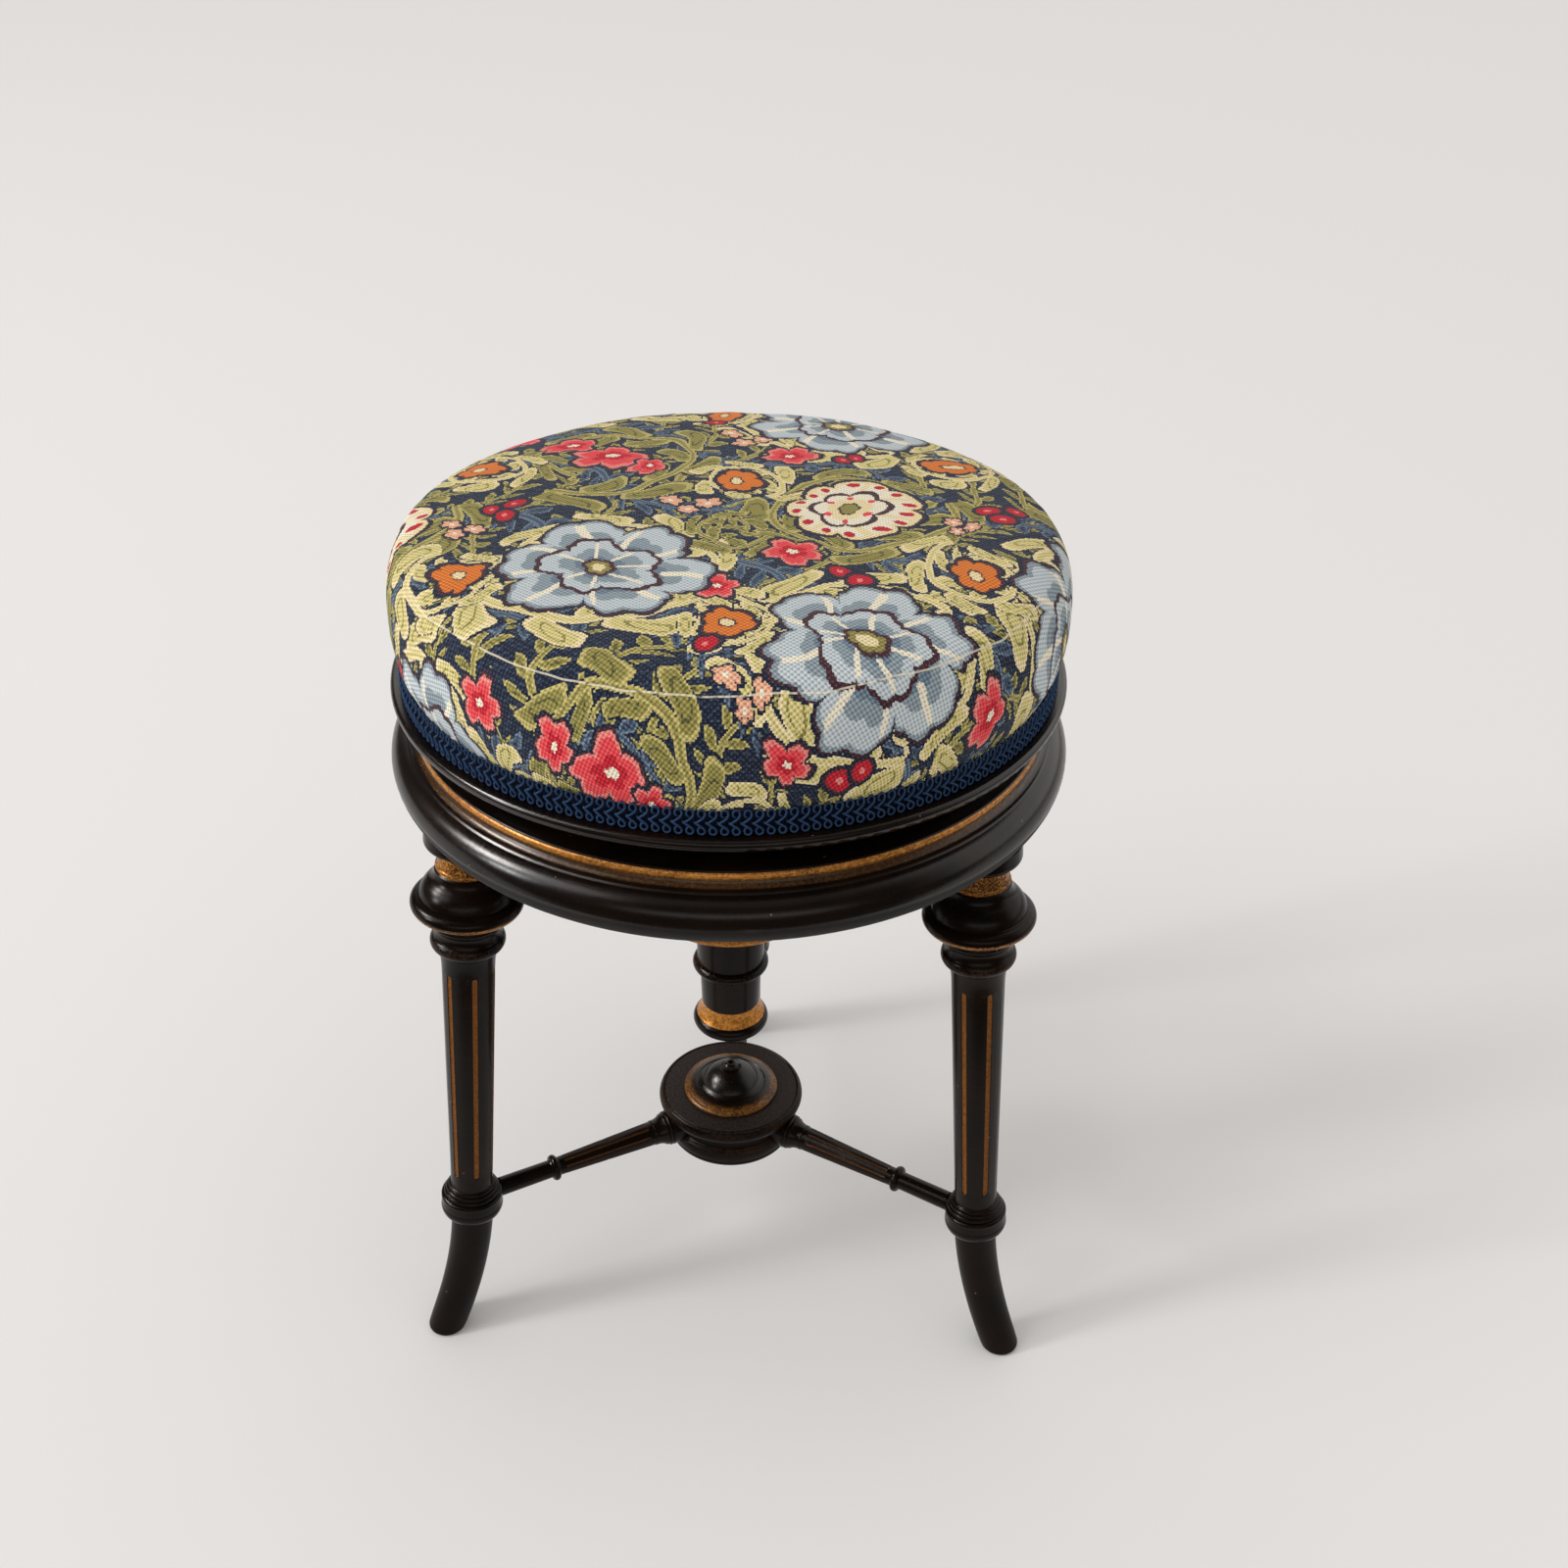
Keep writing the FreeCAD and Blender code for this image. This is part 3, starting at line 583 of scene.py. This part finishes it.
def garland(graph, weave, cloth, heading, spacing, swing, wave, leaf, pace, colours):
    """Rows of thin leafy stems that run over the whole cloth in waves."""
    x, y, _ = graph.split(weave)
    turn = math.radians(heading)
    along = graph.math("MULTIPLY_ADD", x, math.cos(turn), graph.math("MULTIPLY", y, math.sin(turn)))
    across = graph.math("MULTIPLY_ADD", x, -math.sin(turn), graph.math("MULTIPLY", y, math.cos(turn)))
    sway = graph.math("SINE", graph.math("MULTIPLY", along, 2 * math.pi / wave))
    sway = graph.math("MULTIPLY", sway, swing)
    off = graph.math("WRAP", graph.math("SUBTRACT", across, sway), spacing / 2, -spacing / 2)
    return leafy(graph, cloth, off, graph.math("DIVIDE", along, pace), leaf, 0.8, 0.28, 0.14, colours)


def bloom(graph, weave, cloth, stops, centre, size, petals, turn=0, waist=1.0, veins=None,
          spots=None, ruffle=0.0):
    """Lays an open flower over the cloth. Stops run from its heart out to its outline. Veins are
    (colour, low, high, fan) and spots (colour, place, dot, number), with low, high and place as
    shares of the way out."""
    angle, reach = polar(graph, spot(graph, weave, centre))
    swing = graph.math("MULTIPLY_ADD", angle, petals / 2.0, math.radians(turn) * petals / 2.0)
    lobe = graph.math("POWER", graph.math("ABSOLUTE", graph.math("COSINE", swing)), 0.5)
    edge = graph.math("MULTIPLY_ADD", lobe, size * (1.0 - waist), size * waist)
    if ruffle:
        curl = graph.math("ABSOLUTE", graph.math("SINE", graph.math("MULTIPLY", swing, 3.0)))
        edge = graph.math("MULTIPLY_ADD", curl, ruffle * size, edge)
    share = graph.math("DIVIDE", reach, edge)
    colour = graph.ramp(graph.math("MULTIPLY", share, 0.8), stops, "CONSTANT")
    if veins:
        vein_colour, low, high, fan = veins
        stripe = graph.math("COSINE", graph.math("MULTIPLY", swing, 2.0 * fan))
        stripe = graph.math("GREATER_THAN", stripe, graph.math("MULTIPLY_ADD", share, 0.34, 0.64))
        inside = graph.math("MULTIPLY", graph.math("GREATER_THAN", share, low),
                            graph.math("LESS_THAN", share, high))
        colour = graph.mix(graph.math("MULTIPLY", stripe, inside), colour, vein_colour)
    if spots:
        spot_colour, place, dot, number = spots
        cell = graph.math("FRACT", graph.math("MULTIPLY", angle, number / (2 * math.pi)))
        side = graph.math("SUBTRACT", cell, 0.5)
        side = graph.math("MULTIPLY", side, 2 * math.pi / number * place * size)
        out = graph.math("SUBTRACT", reach, place * size)
        near = graph.vector("LENGTH", graph.join(side, out))
        colour = graph.mix(graph.math("LESS_THAN", near, dot), colour, spot_colour)
    return graph.mix(graph.math("LESS_THAN", reach, graph.math("ADD", edge, 1.6)), cloth, colour)


def ticked_ground(graph, weave):
    """Navy with staggered rows of paler ticks."""
    x, y, _ = graph.split(weave)
    row = graph.math("DIVIDE", y, TICK_ROW)
    tick = graph.math("DIVIDE", x, TICK_LENGTH)
    tick = graph.math("FRACT", graph.math("MULTIPLY_ADD", graph.math("FLOOR", row), 0.5, tick))
    line = graph.math("FRACT", row)
    dash = graph.math("MULTIPLY", graph.math("LESS_THAN", tick, 0.55),
                      graph.math("LESS_THAN", line, 0.42))
    return graph.mix(graph.math("MULTIPLY", dash, 0.45), NAVY, NAVY_LIGHT)


def leafy_ground(graph, weave, cloth):
    """Thin garlands under leafy scrolls."""
    cloth = garland(graph, weave, cloth, heading=62, spacing=31, swing=9, wave=96,
                    leaf=12, pace=9.5, colours=GREEN_LEAF)
    cloth = garland(graph, weave, cloth, heading=-28, spacing=66, swing=14, wave=130,
                    leaf=15, pace=12.5, colours=SLATE_LEAF)
    scrolls = [
        ((-62, -66), 56, 200, 1, 22, 9, STRAW_LEAF, 0.18),
        ((62, 0), 50, 20, -1, 21, 8, GREEN_LEAF, 0.30),
        ((-66, 70), 52, 120, 1, 21, 8, GREEN_LEAF, 0.45),
        ((62, 130), 56, 300, -1, 22, 9, STRAW_LEAF, 0.16),
        ((4, 34), 24, 60, 1, 15, 6, STRAW_LEAF, 0.5),
        ((-4, -118), 26, 150, -1, 15, 6, STRAW_LEAF, 0.5),
        ((118, -66), 27, 250, 1, 16, 6, STRAW_LEAF, 0.5),
        ((2, -26), 20, 330, -1, 13, 5, GREEN_LEAF, 0.5),
        ((118, 62), 25, 100, -1, 15, 6, STRAW_LEAF, 0.5),
    ]
    for centre, size, start, hand, leaf, count, colours, inward in scrolls:
        cloth = scroll(graph, weave, cloth, centre, size, start, hand, leaf, count, colours, inward)
    return cloth


def small_blooms(graph, weave, cloth):
    """Tiny peach flowers, berries, coral pinks and marigolds, in that order."""
    tiny = [(0.0, CREAM), (0.22, PEACH), (0.78, NAVY)]
    berry = [(0.0, PINK), (0.20, RED), (0.66, MAROON), (0.80, NAVY)]
    pinks = [(0.0, CREAM), (0.14, RED), (0.34, CORAL), (0.60, PINK), (0.73, MAROON), (0.80, NAVY)]
    marigold = [(0.0, STRAW), (0.20, MAROON), (0.26, ORANGE), (0.70, MAROON), (0.80, NAVY)]
    for centre in [(6, 92), (16, 100), (0, 104), (-22, 0), (-12, 8), (-28, 10),
                   (112, -22), (122, -14), (108, -10)]:
        cloth = bloom(graph, weave, cloth, tiny, centre, 6.0, petals=5, turn=10, waist=0.45)
    for centre in [(-118, 8), (-110, -2), (-104, 12), (56, 66),
                   (66, 72), (50, -72), (60, -78), (-10, 130)]:
        cloth = bloom(graph, weave, cloth, berry, centre, 6.5, petals=1)
    for x, y, size, turn in [(-66, 70, 19, 0), (-88, 92, 13, 40), (30, -52, 15, 20), (-8, -84, 14, 60),
                             (30, 74, 14, 10), (-118, 118, 15, 33), (-46, 54, 12, 12)]:
        cloth = bloom(graph, weave, cloth, pinks, (x, y), size, petals=5, turn=turn, waist=0.45,
                      ruffle=0.08)
    for x, y, size in [(4, 34, 14), (118, -66, 14), (118, 62, 12), (-4, -118, 13)]:
        cloth = bloom(graph, weave, cloth, marigold, (x, y), size, petals=6, turn=15, waist=0.72)
    return cloth


def great_blooms(graph, weave, cloth):
    """A cream rose with red spots, and slate blooms of three rounds of petals."""
    rose_out = [(0.0, STRAW), (0.46, CREAM), (0.70, STRAW), (0.77, MAROON), (0.80, NAVY)]
    rose_in = [(0.0, OLIVE), (0.22, MAROON), (0.27, STRAW), (0.50, CREAM), (0.75, MAROON)]
    rose = (62, 0)
    cloth = bloom(graph, weave, cloth, rose_out, rose, 36.0, petals=7, turn=25, waist=0.78,
                  veins=(STRAW, 0.5, 0.9, 1), spots=(RED, 0.80, 2.6, 14))
    cloth = bloom(graph, weave, cloth, rose_in, rose, 21.6, petals=6, waist=0.76,
                  spots=(CORAL, 0.66, 2.2, 6))
    petal_out = [(0.0, SLATE_DARK), (0.46, SLATE), (0.58, SLATE_PALE), (0.74, SLATE),
                 (0.775, MAROON), (0.80, NAVY)]
    petal_in = [(0.0, OLIVE), (0.16, MAROON), (0.21, SLATE_DARK), (0.36, SLATE),
                (0.56, SLATE_PALE), (0.76, MAROON)]
    heart = [(0.0, STRAW), (0.4, OLIVE), (0.7, MAROON)]
    for x, y, size, turn in [(-62, -66, 50, 12), (62, 130, 49, 40)]:
        cloth = bloom(graph, weave, cloth, petal_out, (x, y), size, petals=6, turn=turn,
                      waist=0.62, veins=(CREAM, 0.54, 0.93, 1.5), ruffle=0.07)
        cloth = bloom(graph, weave, cloth, petal_in, (x, y), size * 0.56, petals=5,
                      turn=turn + 30, waist=0.66, veins=(CREAM, 0.34, 0.90, 1.5), ruffle=0.08)
        cloth = bloom(graph, weave, cloth, heart, (x, y), size * 0.17, petals=6, turn=turn,
                      waist=0.72)
    return cloth


def woven_cover():
    """The floral cloth with its threads and a loose thread along the front edge."""
    made, graph = material("woven_cover")
    flat = graph.node("ShaderNodeUVMap", uv_map="cloth").outputs[0]
    thread = graph.vector("SCALE", flat, scale=1000.0)
    weave = graph.vector("SNAP", thread, WEAVE_CELL)
    wobble = graph.node("ShaderNodeTexNoise", {
        "Vector": weave, "Scale": WOBBLE_SCALE, "Detail": 1.0})
    shift = graph.vector("SCALE", graph.vector("SUBTRACT", wobble.outputs["Color"], (0.5, 0.5, 0.5)),
                         scale=WOBBLE)
    weave = graph.vector("ADD", weave, graph.vector("MULTIPLY", shift, (1.0, 1.0, 0.0)))
    cloth = leafy_ground(graph, weave, ticked_ground(graph, weave))
    cloth = great_blooms(graph, weave, small_blooms(graph, weave, cloth))
    # Threads: lighter dots in a staggered grid, with dark between: partly the cloth's own cream and
    # navy threads, partly a painted highlight on the raised threads and painted shade in the gaps
    # between them
    spacing = (2 * math.pi / WARP_SPACING, 2 * math.pi / WEFT_SPACING, 1.0)
    x, y, _ = graph.split(graph.vector("MULTIPLY", thread, spacing))
    dots = graph.math("MULTIPLY", graph.math("SINE", x), graph.math("SINE", y))
    fuzz = graph.noise(thread, FUZZ_SCALE, 4.0)
    dots = graph.math("MULTIPLY_ADD", graph.math("SUBTRACT", fuzz, 0.5), FUZZ_SHARE, dots)
    lighter = graph.mix(LIT_CREAM, graph.mix(LIT_SCREEN, cloth, cloth, "SCREEN"), CREAM)
    darker = graph.mix(SUNK_NAVY, cloth, NAVY)
    lit = graph.math("MULTIPLY", graph.fade(dots, 0.30, 0.85), THREAD_LIT)
    gaps = graph.math("MULTIPLY", dots, -1.0)
    sunk = graph.math("MULTIPLY", graph.fade(gaps, 0.22, 0.85), THREAD_SUNK)
    colour = graph.mix(sunk, graph.mix(lit, cloth, lighter), darker)
    # The loose thread runs round the front on the bend of the corner, and fades in and out
    angle, reach = polar(graph, thread)
    drift = graph.math("MULTIPLY_ADD", graph.noise(thread, 0.03, 2.0), LOOSE_DRIFT, LOOSE_REACH)
    line = graph.math("ABSOLUTE", graph.math("SUBTRACT", reach, drift))
    front = graph.between(angle, *LOOSE_ENDS, 0.05)
    loose = graph.math("MULTIPLY", graph.math("LESS_THAN", line, LOOSE_HALF_WIDTH), front)
    loose = graph.math("MULTIPLY", loose, graph.fade(graph.noise(thread, 0.25, 3.0), 0.34, 0.46))
    colour = graph.mix(graph.math("MULTIPLY", loose, LOOSE_SHARE), colour, CREAM)
    height = graph.math("MULTIPLY_ADD", loose, 1.5, dots)
    finish_material(graph, height, CLOTH_RELIEF, Base_Color=colour, Roughness=0.86,
                    Specular_IOR_Level=0.25, Sheen_Weight=0.05, Sheen_Roughness=0.4)
    return made


def braid_cord():
    """Matt navy cord over a darker band."""
    made, graph = material("braid_cord")
    place = millimetres(graph)
    _, radius = upright_frame(graph, place)
    fine = graph.noise(place, 2.0, 4.0)
    cord = graph.fade(radius, BRAID_R - 1.0, BRAID_R + 0.4)
    colour = graph.mix(graph.fade(fine, 0.3, 0.7), CORD_NAVY, CORD_BLUE)
    colour = graph.mix(cord, BAND_NAVY, colour)
    finish_material(graph, fine, 0.0002, Base_Color=colour, Roughness=0.75, Specular_IOR_Level=0.2)
    return made


# Seat cushion

def cloth_place(x, y, z):
    """Where a point of the cover lay on the flat cloth before it was pulled over the pad."""
    reach = math.hypot(x, y) / MM
    height = z / MM
    if height < CORNER_Z:
        length = CORNER_R + CORNER_BEND * math.pi / 2 + CORNER_Z - height
    elif reach > CORNER_R:
        turn = math.atan2(height - CORNER_Z, reach - CORNER_R)
        length = CORNER_R + CORNER_BEND * (math.pi / 2 - turn)
    else:
        length = reach
    if length > CORNER_R:
        length = CORNER_R + (length - CORNER_R) * SIDE_STRETCH
    share = length * MM / max(math.hypot(x, y), 1e-9)
    return x * share, y * share


def drawn_pad(rings):
    """A closed pad, drawn up ring by ring from the lower edge of the skirt to the crown."""
    height = BRAID_LOW + SKIRT_LIFT
    radius = COVER_SKIRT_R
    bpy.ops.object.select_all(action="DESELECT")
    bpy.ops.mesh.primitive_circle_add(
        vertices=CUSHION_SIDES, radius=radius * MM, fill_type="NGON", location=(0, 0, height * MM))
    pad = bpy.context.object
    pad.name = "seat_cushion"
    bpy.ops.object.mode_set(mode="EDIT")
    bpy.ops.mesh.select_all(action="SELECT")
    for ring_r, ring_z in rings:
        bpy.ops.mesh.extrude_region_move(
            TRANSFORM_OT_translate={"value": (0, 0, (ring_z - height) * MM)})
        bpy.ops.transform.resize(value=(ring_r / radius, ring_r / radius, 1.0))
        height = ring_z
        radius = ring_r
    bpy.ops.mesh.select_all(action="SELECT")
    bpy.ops.mesh.normals_make_consistent(inside=False)
    bpy.ops.object.mode_set(mode="OBJECT")
    settle(pad)
    remesh = pad.modifiers.new("remesh", "REMESH")
    remesh.mode = "VOXEL"
    remesh.voxel_size = CUSHION_GRID * MM
    apply_modifiers(pad)
    return pad


def blow_up(pad):
    """Swells the pad a little as cloth under pressure, pinned where the tacks hold it."""
    start = [v.co.copy() for v in pad.data.vertices]
    held = pad.vertex_groups.new(name="tacked")
    for v in pad.data.vertices:
        slack = min(max((v.co.z / MM - HELD_BELOW) / HELD_FADE, 0.0), 1.0)
        held.add([v.index], 1.0 - slack, "REPLACE")
    cloth = pad.modifiers.new("cloth", "CLOTH")
    cloth.settings.use_pressure = True
    cloth.settings.uniform_pressure_force = PRESSURE
    cloth.settings.vertex_group_mass = "tacked"
    cloth.settings.effector_weights.gravity = 0.0
    cloth.point_cache.frame_start = 1
    cloth.point_cache.frame_end = CLOTH_FRAMES
    for step in range(1, CLOTH_FRAMES + 1):
        bpy.context.scene.frame_set(step)
    apply_modifiers(pad)
    bpy.context.scene.frame_set(1)
    most = 2.0 * SWELL * MM
    for v, home in zip(pad.data.vertices, start):
        moved = v.co - home
        if moved.length > most:
            v.co = home + moved * (most / moved.length)


def pull_uneven(pad):
    """Low waves round the side, a low ridge over the edge of the hard pad, and a crown that
    falls a little towards the back."""
    pull = random.Random(WAVE_SEED)
    waves = [(pull.uniform(3, 15), pull.uniform(0, 6.28), pull.uniform(0.1, 0.3))
             for _ in range(WAVE_COUNT)]
    ridge_r, ridge_z = RIDGE
    for v in pad.data.vertices:
        reach = math.hypot(v.co.x, v.co.y)
        turn = math.atan2(v.co.y, v.co.x)
        side = 0.0
        if reach > WAVE_FROM_R * MM:
            side = math.exp(-((v.co.z / MM - WAVE_Z) / WAVE_SPREAD) ** 2)
        wave = sum(size * math.sin(round(rate) * turn + phase) for rate, phase, size in waves)
        grow = 1.0 + side * wave / SIDE_R
        v.co.x *= grow
        v.co.y *= grow
        away = math.hypot(reach / MM - ridge_r, v.co.z / MM - ridge_z)
        v.co.z += RIDGE_HEIGHT * MM * math.exp(-(away / RIDGE_SPREAD) ** 2)
        v.co.z -= v.co.y * BACK_DROP * min(max((v.co.z / MM - DROP_FROM_Z) / DROP_FADE, 0.0), 1.0)


def make_cushion():
    """The cover over its pad. Where it is blown up, its rings start a little lower and wider,
    because the pressure lifts the crown and draws the side in."""
    rings = CUSHION_RINGS
    rings = [(r + TIGHTEN if z > SIDE_FROM_Z else r, z - SWELL if z > CORNER_Z else z)
             for r, z in rings]
    pad = drawn_pad(rings)
    blow_up(pad)
    finer = pad.modifiers.new("finer", "SUBSURF")
    finer.levels = 1
    finer.render_levels = 1
    apply_modifiers(pad)
    pull_uneven(pad)
    layer = pad.data.uv_layers.new(name="cloth")
    for loop in pad.data.loops:
        layer.data[loop.index].uv = cloth_place(*pad.data.vertices[loop.vertex_index].co)
    for polygon in pad.data.polygons:
        polygon.use_smooth = True
    return pad


# Braid

def cord_ring(name, height, upright):
    """A cord that runs round the seat in loops, upright or with the loops hanging."""
    curve = bpy.data.curves.new(name, "CURVE")
    curve.dimensions = "3D"
    curve.bevel_depth = CORD_THICK * MM
    curve.bevel_resolution = 1
    curve.resolution_u = 1
    spline = curve.splines.new("POLY")
    spline.points.add(BRAID_LOOPS * len(LOOP) - 1)
    for i in range(BRAID_LOOPS):
        middle = 2 * math.pi * i / BRAID_LOOPS
        for j, (right, up, out) in enumerate(LOOP):
            if not upright:
                up *= -HANGING_SHARE
            around = middle + right / CORD_R
            reach = CORD_R + out - BRAID_LEAN * (height + up - BRAID_MIDDLE)
            spline.points[i * len(LOOP) + j].co = (
                reach * math.cos(around) * MM, reach * math.sin(around) * MM, (height + up) * MM, 1.0)
    spline.use_cyclic_u = True
    obj = bpy.data.objects.new(name, curve)
    bpy.context.collection.objects.link(obj)
    activate(obj)
    bpy.ops.object.convert(target="MESH")
    bpy.ops.object.shade_smooth()
    return bpy.context.object


def make_braid():
    """Gimp: a band with a row of loops above a row of hanging ones, tail to tail."""
    bpy.ops.object.select_all(action="DESELECT")
    bpy.ops.mesh.primitive_cylinder_add(
        vertices=256, radius=(BRAID_R - BAND_SUNK) * MM, end_fill_type="NOTHING",
        depth=(BRAID_HIGH - BRAID_LOW - BAND_SHORT) * MM,
        location=(0, 0, (BRAID_LOW + BRAID_HIGH) / 2 * MM))
    band = bpy.context.object
    band.name = "braid_band"
    bpy.ops.object.mode_set(mode="EDIT")
    bpy.ops.mesh.select_all(action="SELECT")
    bpy.ops.mesh.subdivide(number_cuts=1)
    bpy.ops.object.mode_set(mode="OBJECT")
    settle(band)
    wall = band.modifiers.new("wall", "SOLIDIFY")
    wall.thickness = BAND_THICK * MM
    wall.offset = -1.0
    apply_modifiers(band)
    activate(band)
    bpy.ops.object.shade_smooth_by_angle(angle=math.radians(40))
    return [
        band,
        cord_ring("braid_upper", UPPER_LOOPS_Z, True),
        cord_ring("braid_lower", LOWER_LOOPS_Z, False),
    ]


# Floor, light and camera

def pale(name, colour):
    """Matt and without gloss."""
    made, graph = material(name)
    finish_material(graph, Base_Color=colour, Roughness=1.0, Specular_IOR_Level=0.0)
    return made


def lay_floor():
    """The floor ends a little way in front of the stool, so that the legs mirror dark there."""
    bpy.ops.object.select_all(action="DESELECT")
    bpy.ops.mesh.primitive_plane_add(
        size=FLOOR_SIZE, location=(0, FLOOR_SIZE / 2 - FLOOR_FRONT, 0))
    floor = bpy.context.object
    floor.name = "floor"
    paint(floor, pale("pale_floor", FLOOR_COLOUR))


def lamp(name, kind, place, target, power, colour, size):
    data = bpy.data.lights.new(name, kind)
    data.energy = power
    data.color = colour
    if kind == "SUN":
        data.angle = size
    else:
        data.shape = "RECTANGLE"
        data.size, data.size_y = size
    made = bpy.data.objects.new(name, data)
    made.location = place
    aim = Vector(target) - Vector(place)
    made.rotation_euler = aim.to_track_quat("-Z", "Y").to_euler()
    bpy.context.collection.objects.link(made)


def build_studio():
    """An even room for soft light, a darker one with bright walls and a window pane for what
    the lacquer mirrors, and a plain backdrop for the camera."""
    world = bpy.data.worlds.new("studio")
    bpy.context.scene.world = world
    world.use_nodes = True
    world.node_tree.nodes.clear()
    sky = Graph(world.node_tree)
    ray = sky.node("ShaderNodeLightPath").outputs
    look = sky.node("ShaderNodeTexCoord").outputs["Generated"]
    aside, away, high = sky.split(look)
    walls = sky.fade(sky.math("MULTIPLY_ADD", aside, WALL_SLANT, away), *WALL_EDGE)
    walls = sky.math("MULTIPLY", walls, sky.fade(high, *WALL_FOOT))
    behind_camera = sky.math("MULTIPLY", sky.fade(away, *NEAR_WALL_EDGE),
                             sky.between(high, *NEAR_WALL_HEIGHT, NEAR_WALL_SOFT))
    walls = sky.math("MAXIMUM", walls, behind_camera)
    ceiling = sky.math("MULTIPLY", sky.fade(high, *CEILING_EDGE), CEILING_SHARE)
    pane = sky.fade(sky.vector("DOT_PRODUCT", look, PANE_SIDE), *PANE_EDGE)
    walls = sky.math("ADD", walls, sky.math("MULTIPLY_ADD", pane, PANE_SHARE, ceiling))
    room = sky.node("ShaderNodeBackground", {"Color": ROOM_COLOUR, "Strength": ROOM_LIGHT})
    walls = sky.math("MULTIPLY_ADD", walls, WALL_LIGHT, MIRRORED_LEAST)
    mirrored = sky.node("ShaderNodeBackground", {"Color": MIRRORED_COLOUR, "Strength": walls})
    backdrop = sky.node("ShaderNodeBackground", {"Color": BACKDROP_COLOUR, "Strength": 1.0})
    lit = sky.node("ShaderNodeMixShader", {
        0: ray["Is Glossy Ray"], 1: room.outputs[0], 2: mirrored.outputs[0]})
    both = sky.node("ShaderNodeMixShader", {
        0: ray["Is Camera Ray"], 1: lit.outputs[0], 2: backdrop.outputs[0]})
    sky.node("ShaderNodeOutputWorld", {"Surface": both.outputs[0]})


def place_camera():
    pitch = math.radians(CAMERA_PITCH)
    pan = math.radians(CAMERA_PAN)
    roll = math.radians(CAMERA_ROLL)
    ahead = Vector((math.sin(pan) * math.cos(pitch), math.cos(pan) * math.cos(pitch), -math.sin(pitch)))
    level_right = Vector((math.cos(pan), -math.sin(pan), 0.0))
    level_up = level_right.cross(ahead)
    right = level_right * math.cos(roll) + level_up * math.sin(roll)
    up = level_up * math.cos(roll) - level_right * math.sin(roll)
    lens = bpy.data.cameras.new("camera")
    lens.lens = LENS
    lens.shift_x = CAMERA_SHIFT
    camera = bpy.data.objects.new("camera", lens)
    turned = Matrix((right, up, -ahead)).transposed().to_4x4()
    camera.matrix_world = Matrix.Translation(CAMERA_PLACE) @ turned
    bpy.context.collection.objects.link(camera)
    bpy.context.scene.camera = camera


# Dressing

board_finish = lacquered("ebonised_board", upright_frame, shine=0.34)
ring_finish = lacquered(
    "ebonised_ring", upright_frame,
    gilt_bands=[(386.0, 388.9, 1.0), (384.2, 386.0, 0.45), (381.2, 384.2, 0.10)],
    gilt_limit=(163.5, 170.0), gilt_kept=0.05, shine=0.30, matt_below=RING_SIDE_LOW)
boss_finish = lacquered(
    "ebonised_boss", upright_frame, gilt_bands=[(172.6, 182.0, 1.0), (254.0, 263.0, 0.8)],
    worn_bands=[(206.0, 214.0)], gilt_kept=0.12, shine=0.14)
leg_finish = lacquered(
    "ebonised_leg", leg_frame, gilt_bands=[(327.0, 340.8, 1.0), (302.4, 305.2, 0.6)],
    worn_bands=[(277.0, 284.0)], gilt_kept=-0.03, shine=0.13,
    flutes=(SHAFT_LOW, SHAFT_HIGH, *SHAFT_FLUTES, SHAFT_FLUTE_DEPTH))
foot_finish = lacquered("ebonised_foot", leg_frame, dull=0.12)
spoke_finish = lacquered(
    "ebonised_spoke", spoke_frame, flutes=(SPOKE_THICK, SPOKE_THIN, *SPOKE_FLUTES, SPOKE_FLUTE_DEPTH),
    flute_gilt=0.28, shine=0.14)
# The hub's top face is lightened by dust and a painted sheen
hub_finish = lacquered(
    "ebonised_hub", upright_frame, worn_bands=[(90.5, 94.0), (108.0, 111.0)], dull=0.10,
    dust_and_sheen_above=HUB_TOP)
dome_finish = lacquered(
    "ebonised_dome", upright_frame, gilt_bands=[(111.0, 116.2, 0.50)], gilt_limit=(24.4, 30.0),
    gilt_soft=2.2, gilt_kept=-0.02, shine=0.24, dull=0.05)
iron_finish = iron()
wood_finish = bare_wood()

FINISH = {
    "seat_board": board_finish, "base_top": ring_finish, "boss": boss_finish,
    "stretcher_hub": hub_finish, "hub_dome": dome_finish, "hub_button": dome_finish,
    "foot_dowels": wood_finish,
}
for side in ("left", "right", "back"):
    FINISH["leg_" + side] = leg_finish
    FINISH["foot_" + side] = foot_finish
    FINISH["stretcher_" + side] = spoke_finish
for name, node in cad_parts.items():
    paint(node, FINISH.get(name, iron_finish))

cushion = make_cushion()
paint(cushion, woven_cover())
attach(cushion, "seat")
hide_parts("seat_cover", "seat_stuffing")

navy_cord = braid_cord()
for piece in make_braid():
    paint(piece, navy_cord)
    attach(piece, "seat")
    if piece.name == "braid_band":
        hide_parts("gimp_braid")

lay_floor()
lamp("daylight", "SUN", SUN_PLACE, (0.0, 0.0, 0.0), SUN_POWER, WHITE, math.radians(SUN_SPREAD))
lamp("window", "AREA", WINDOW_PLACE, WINDOW_AIM, WINDOW_POWER, WINDOW_COLOUR, WINDOW_SIZE)
build_studio()
place_camera()
bpy.context.scene.view_settings.view_transform = "Standard"
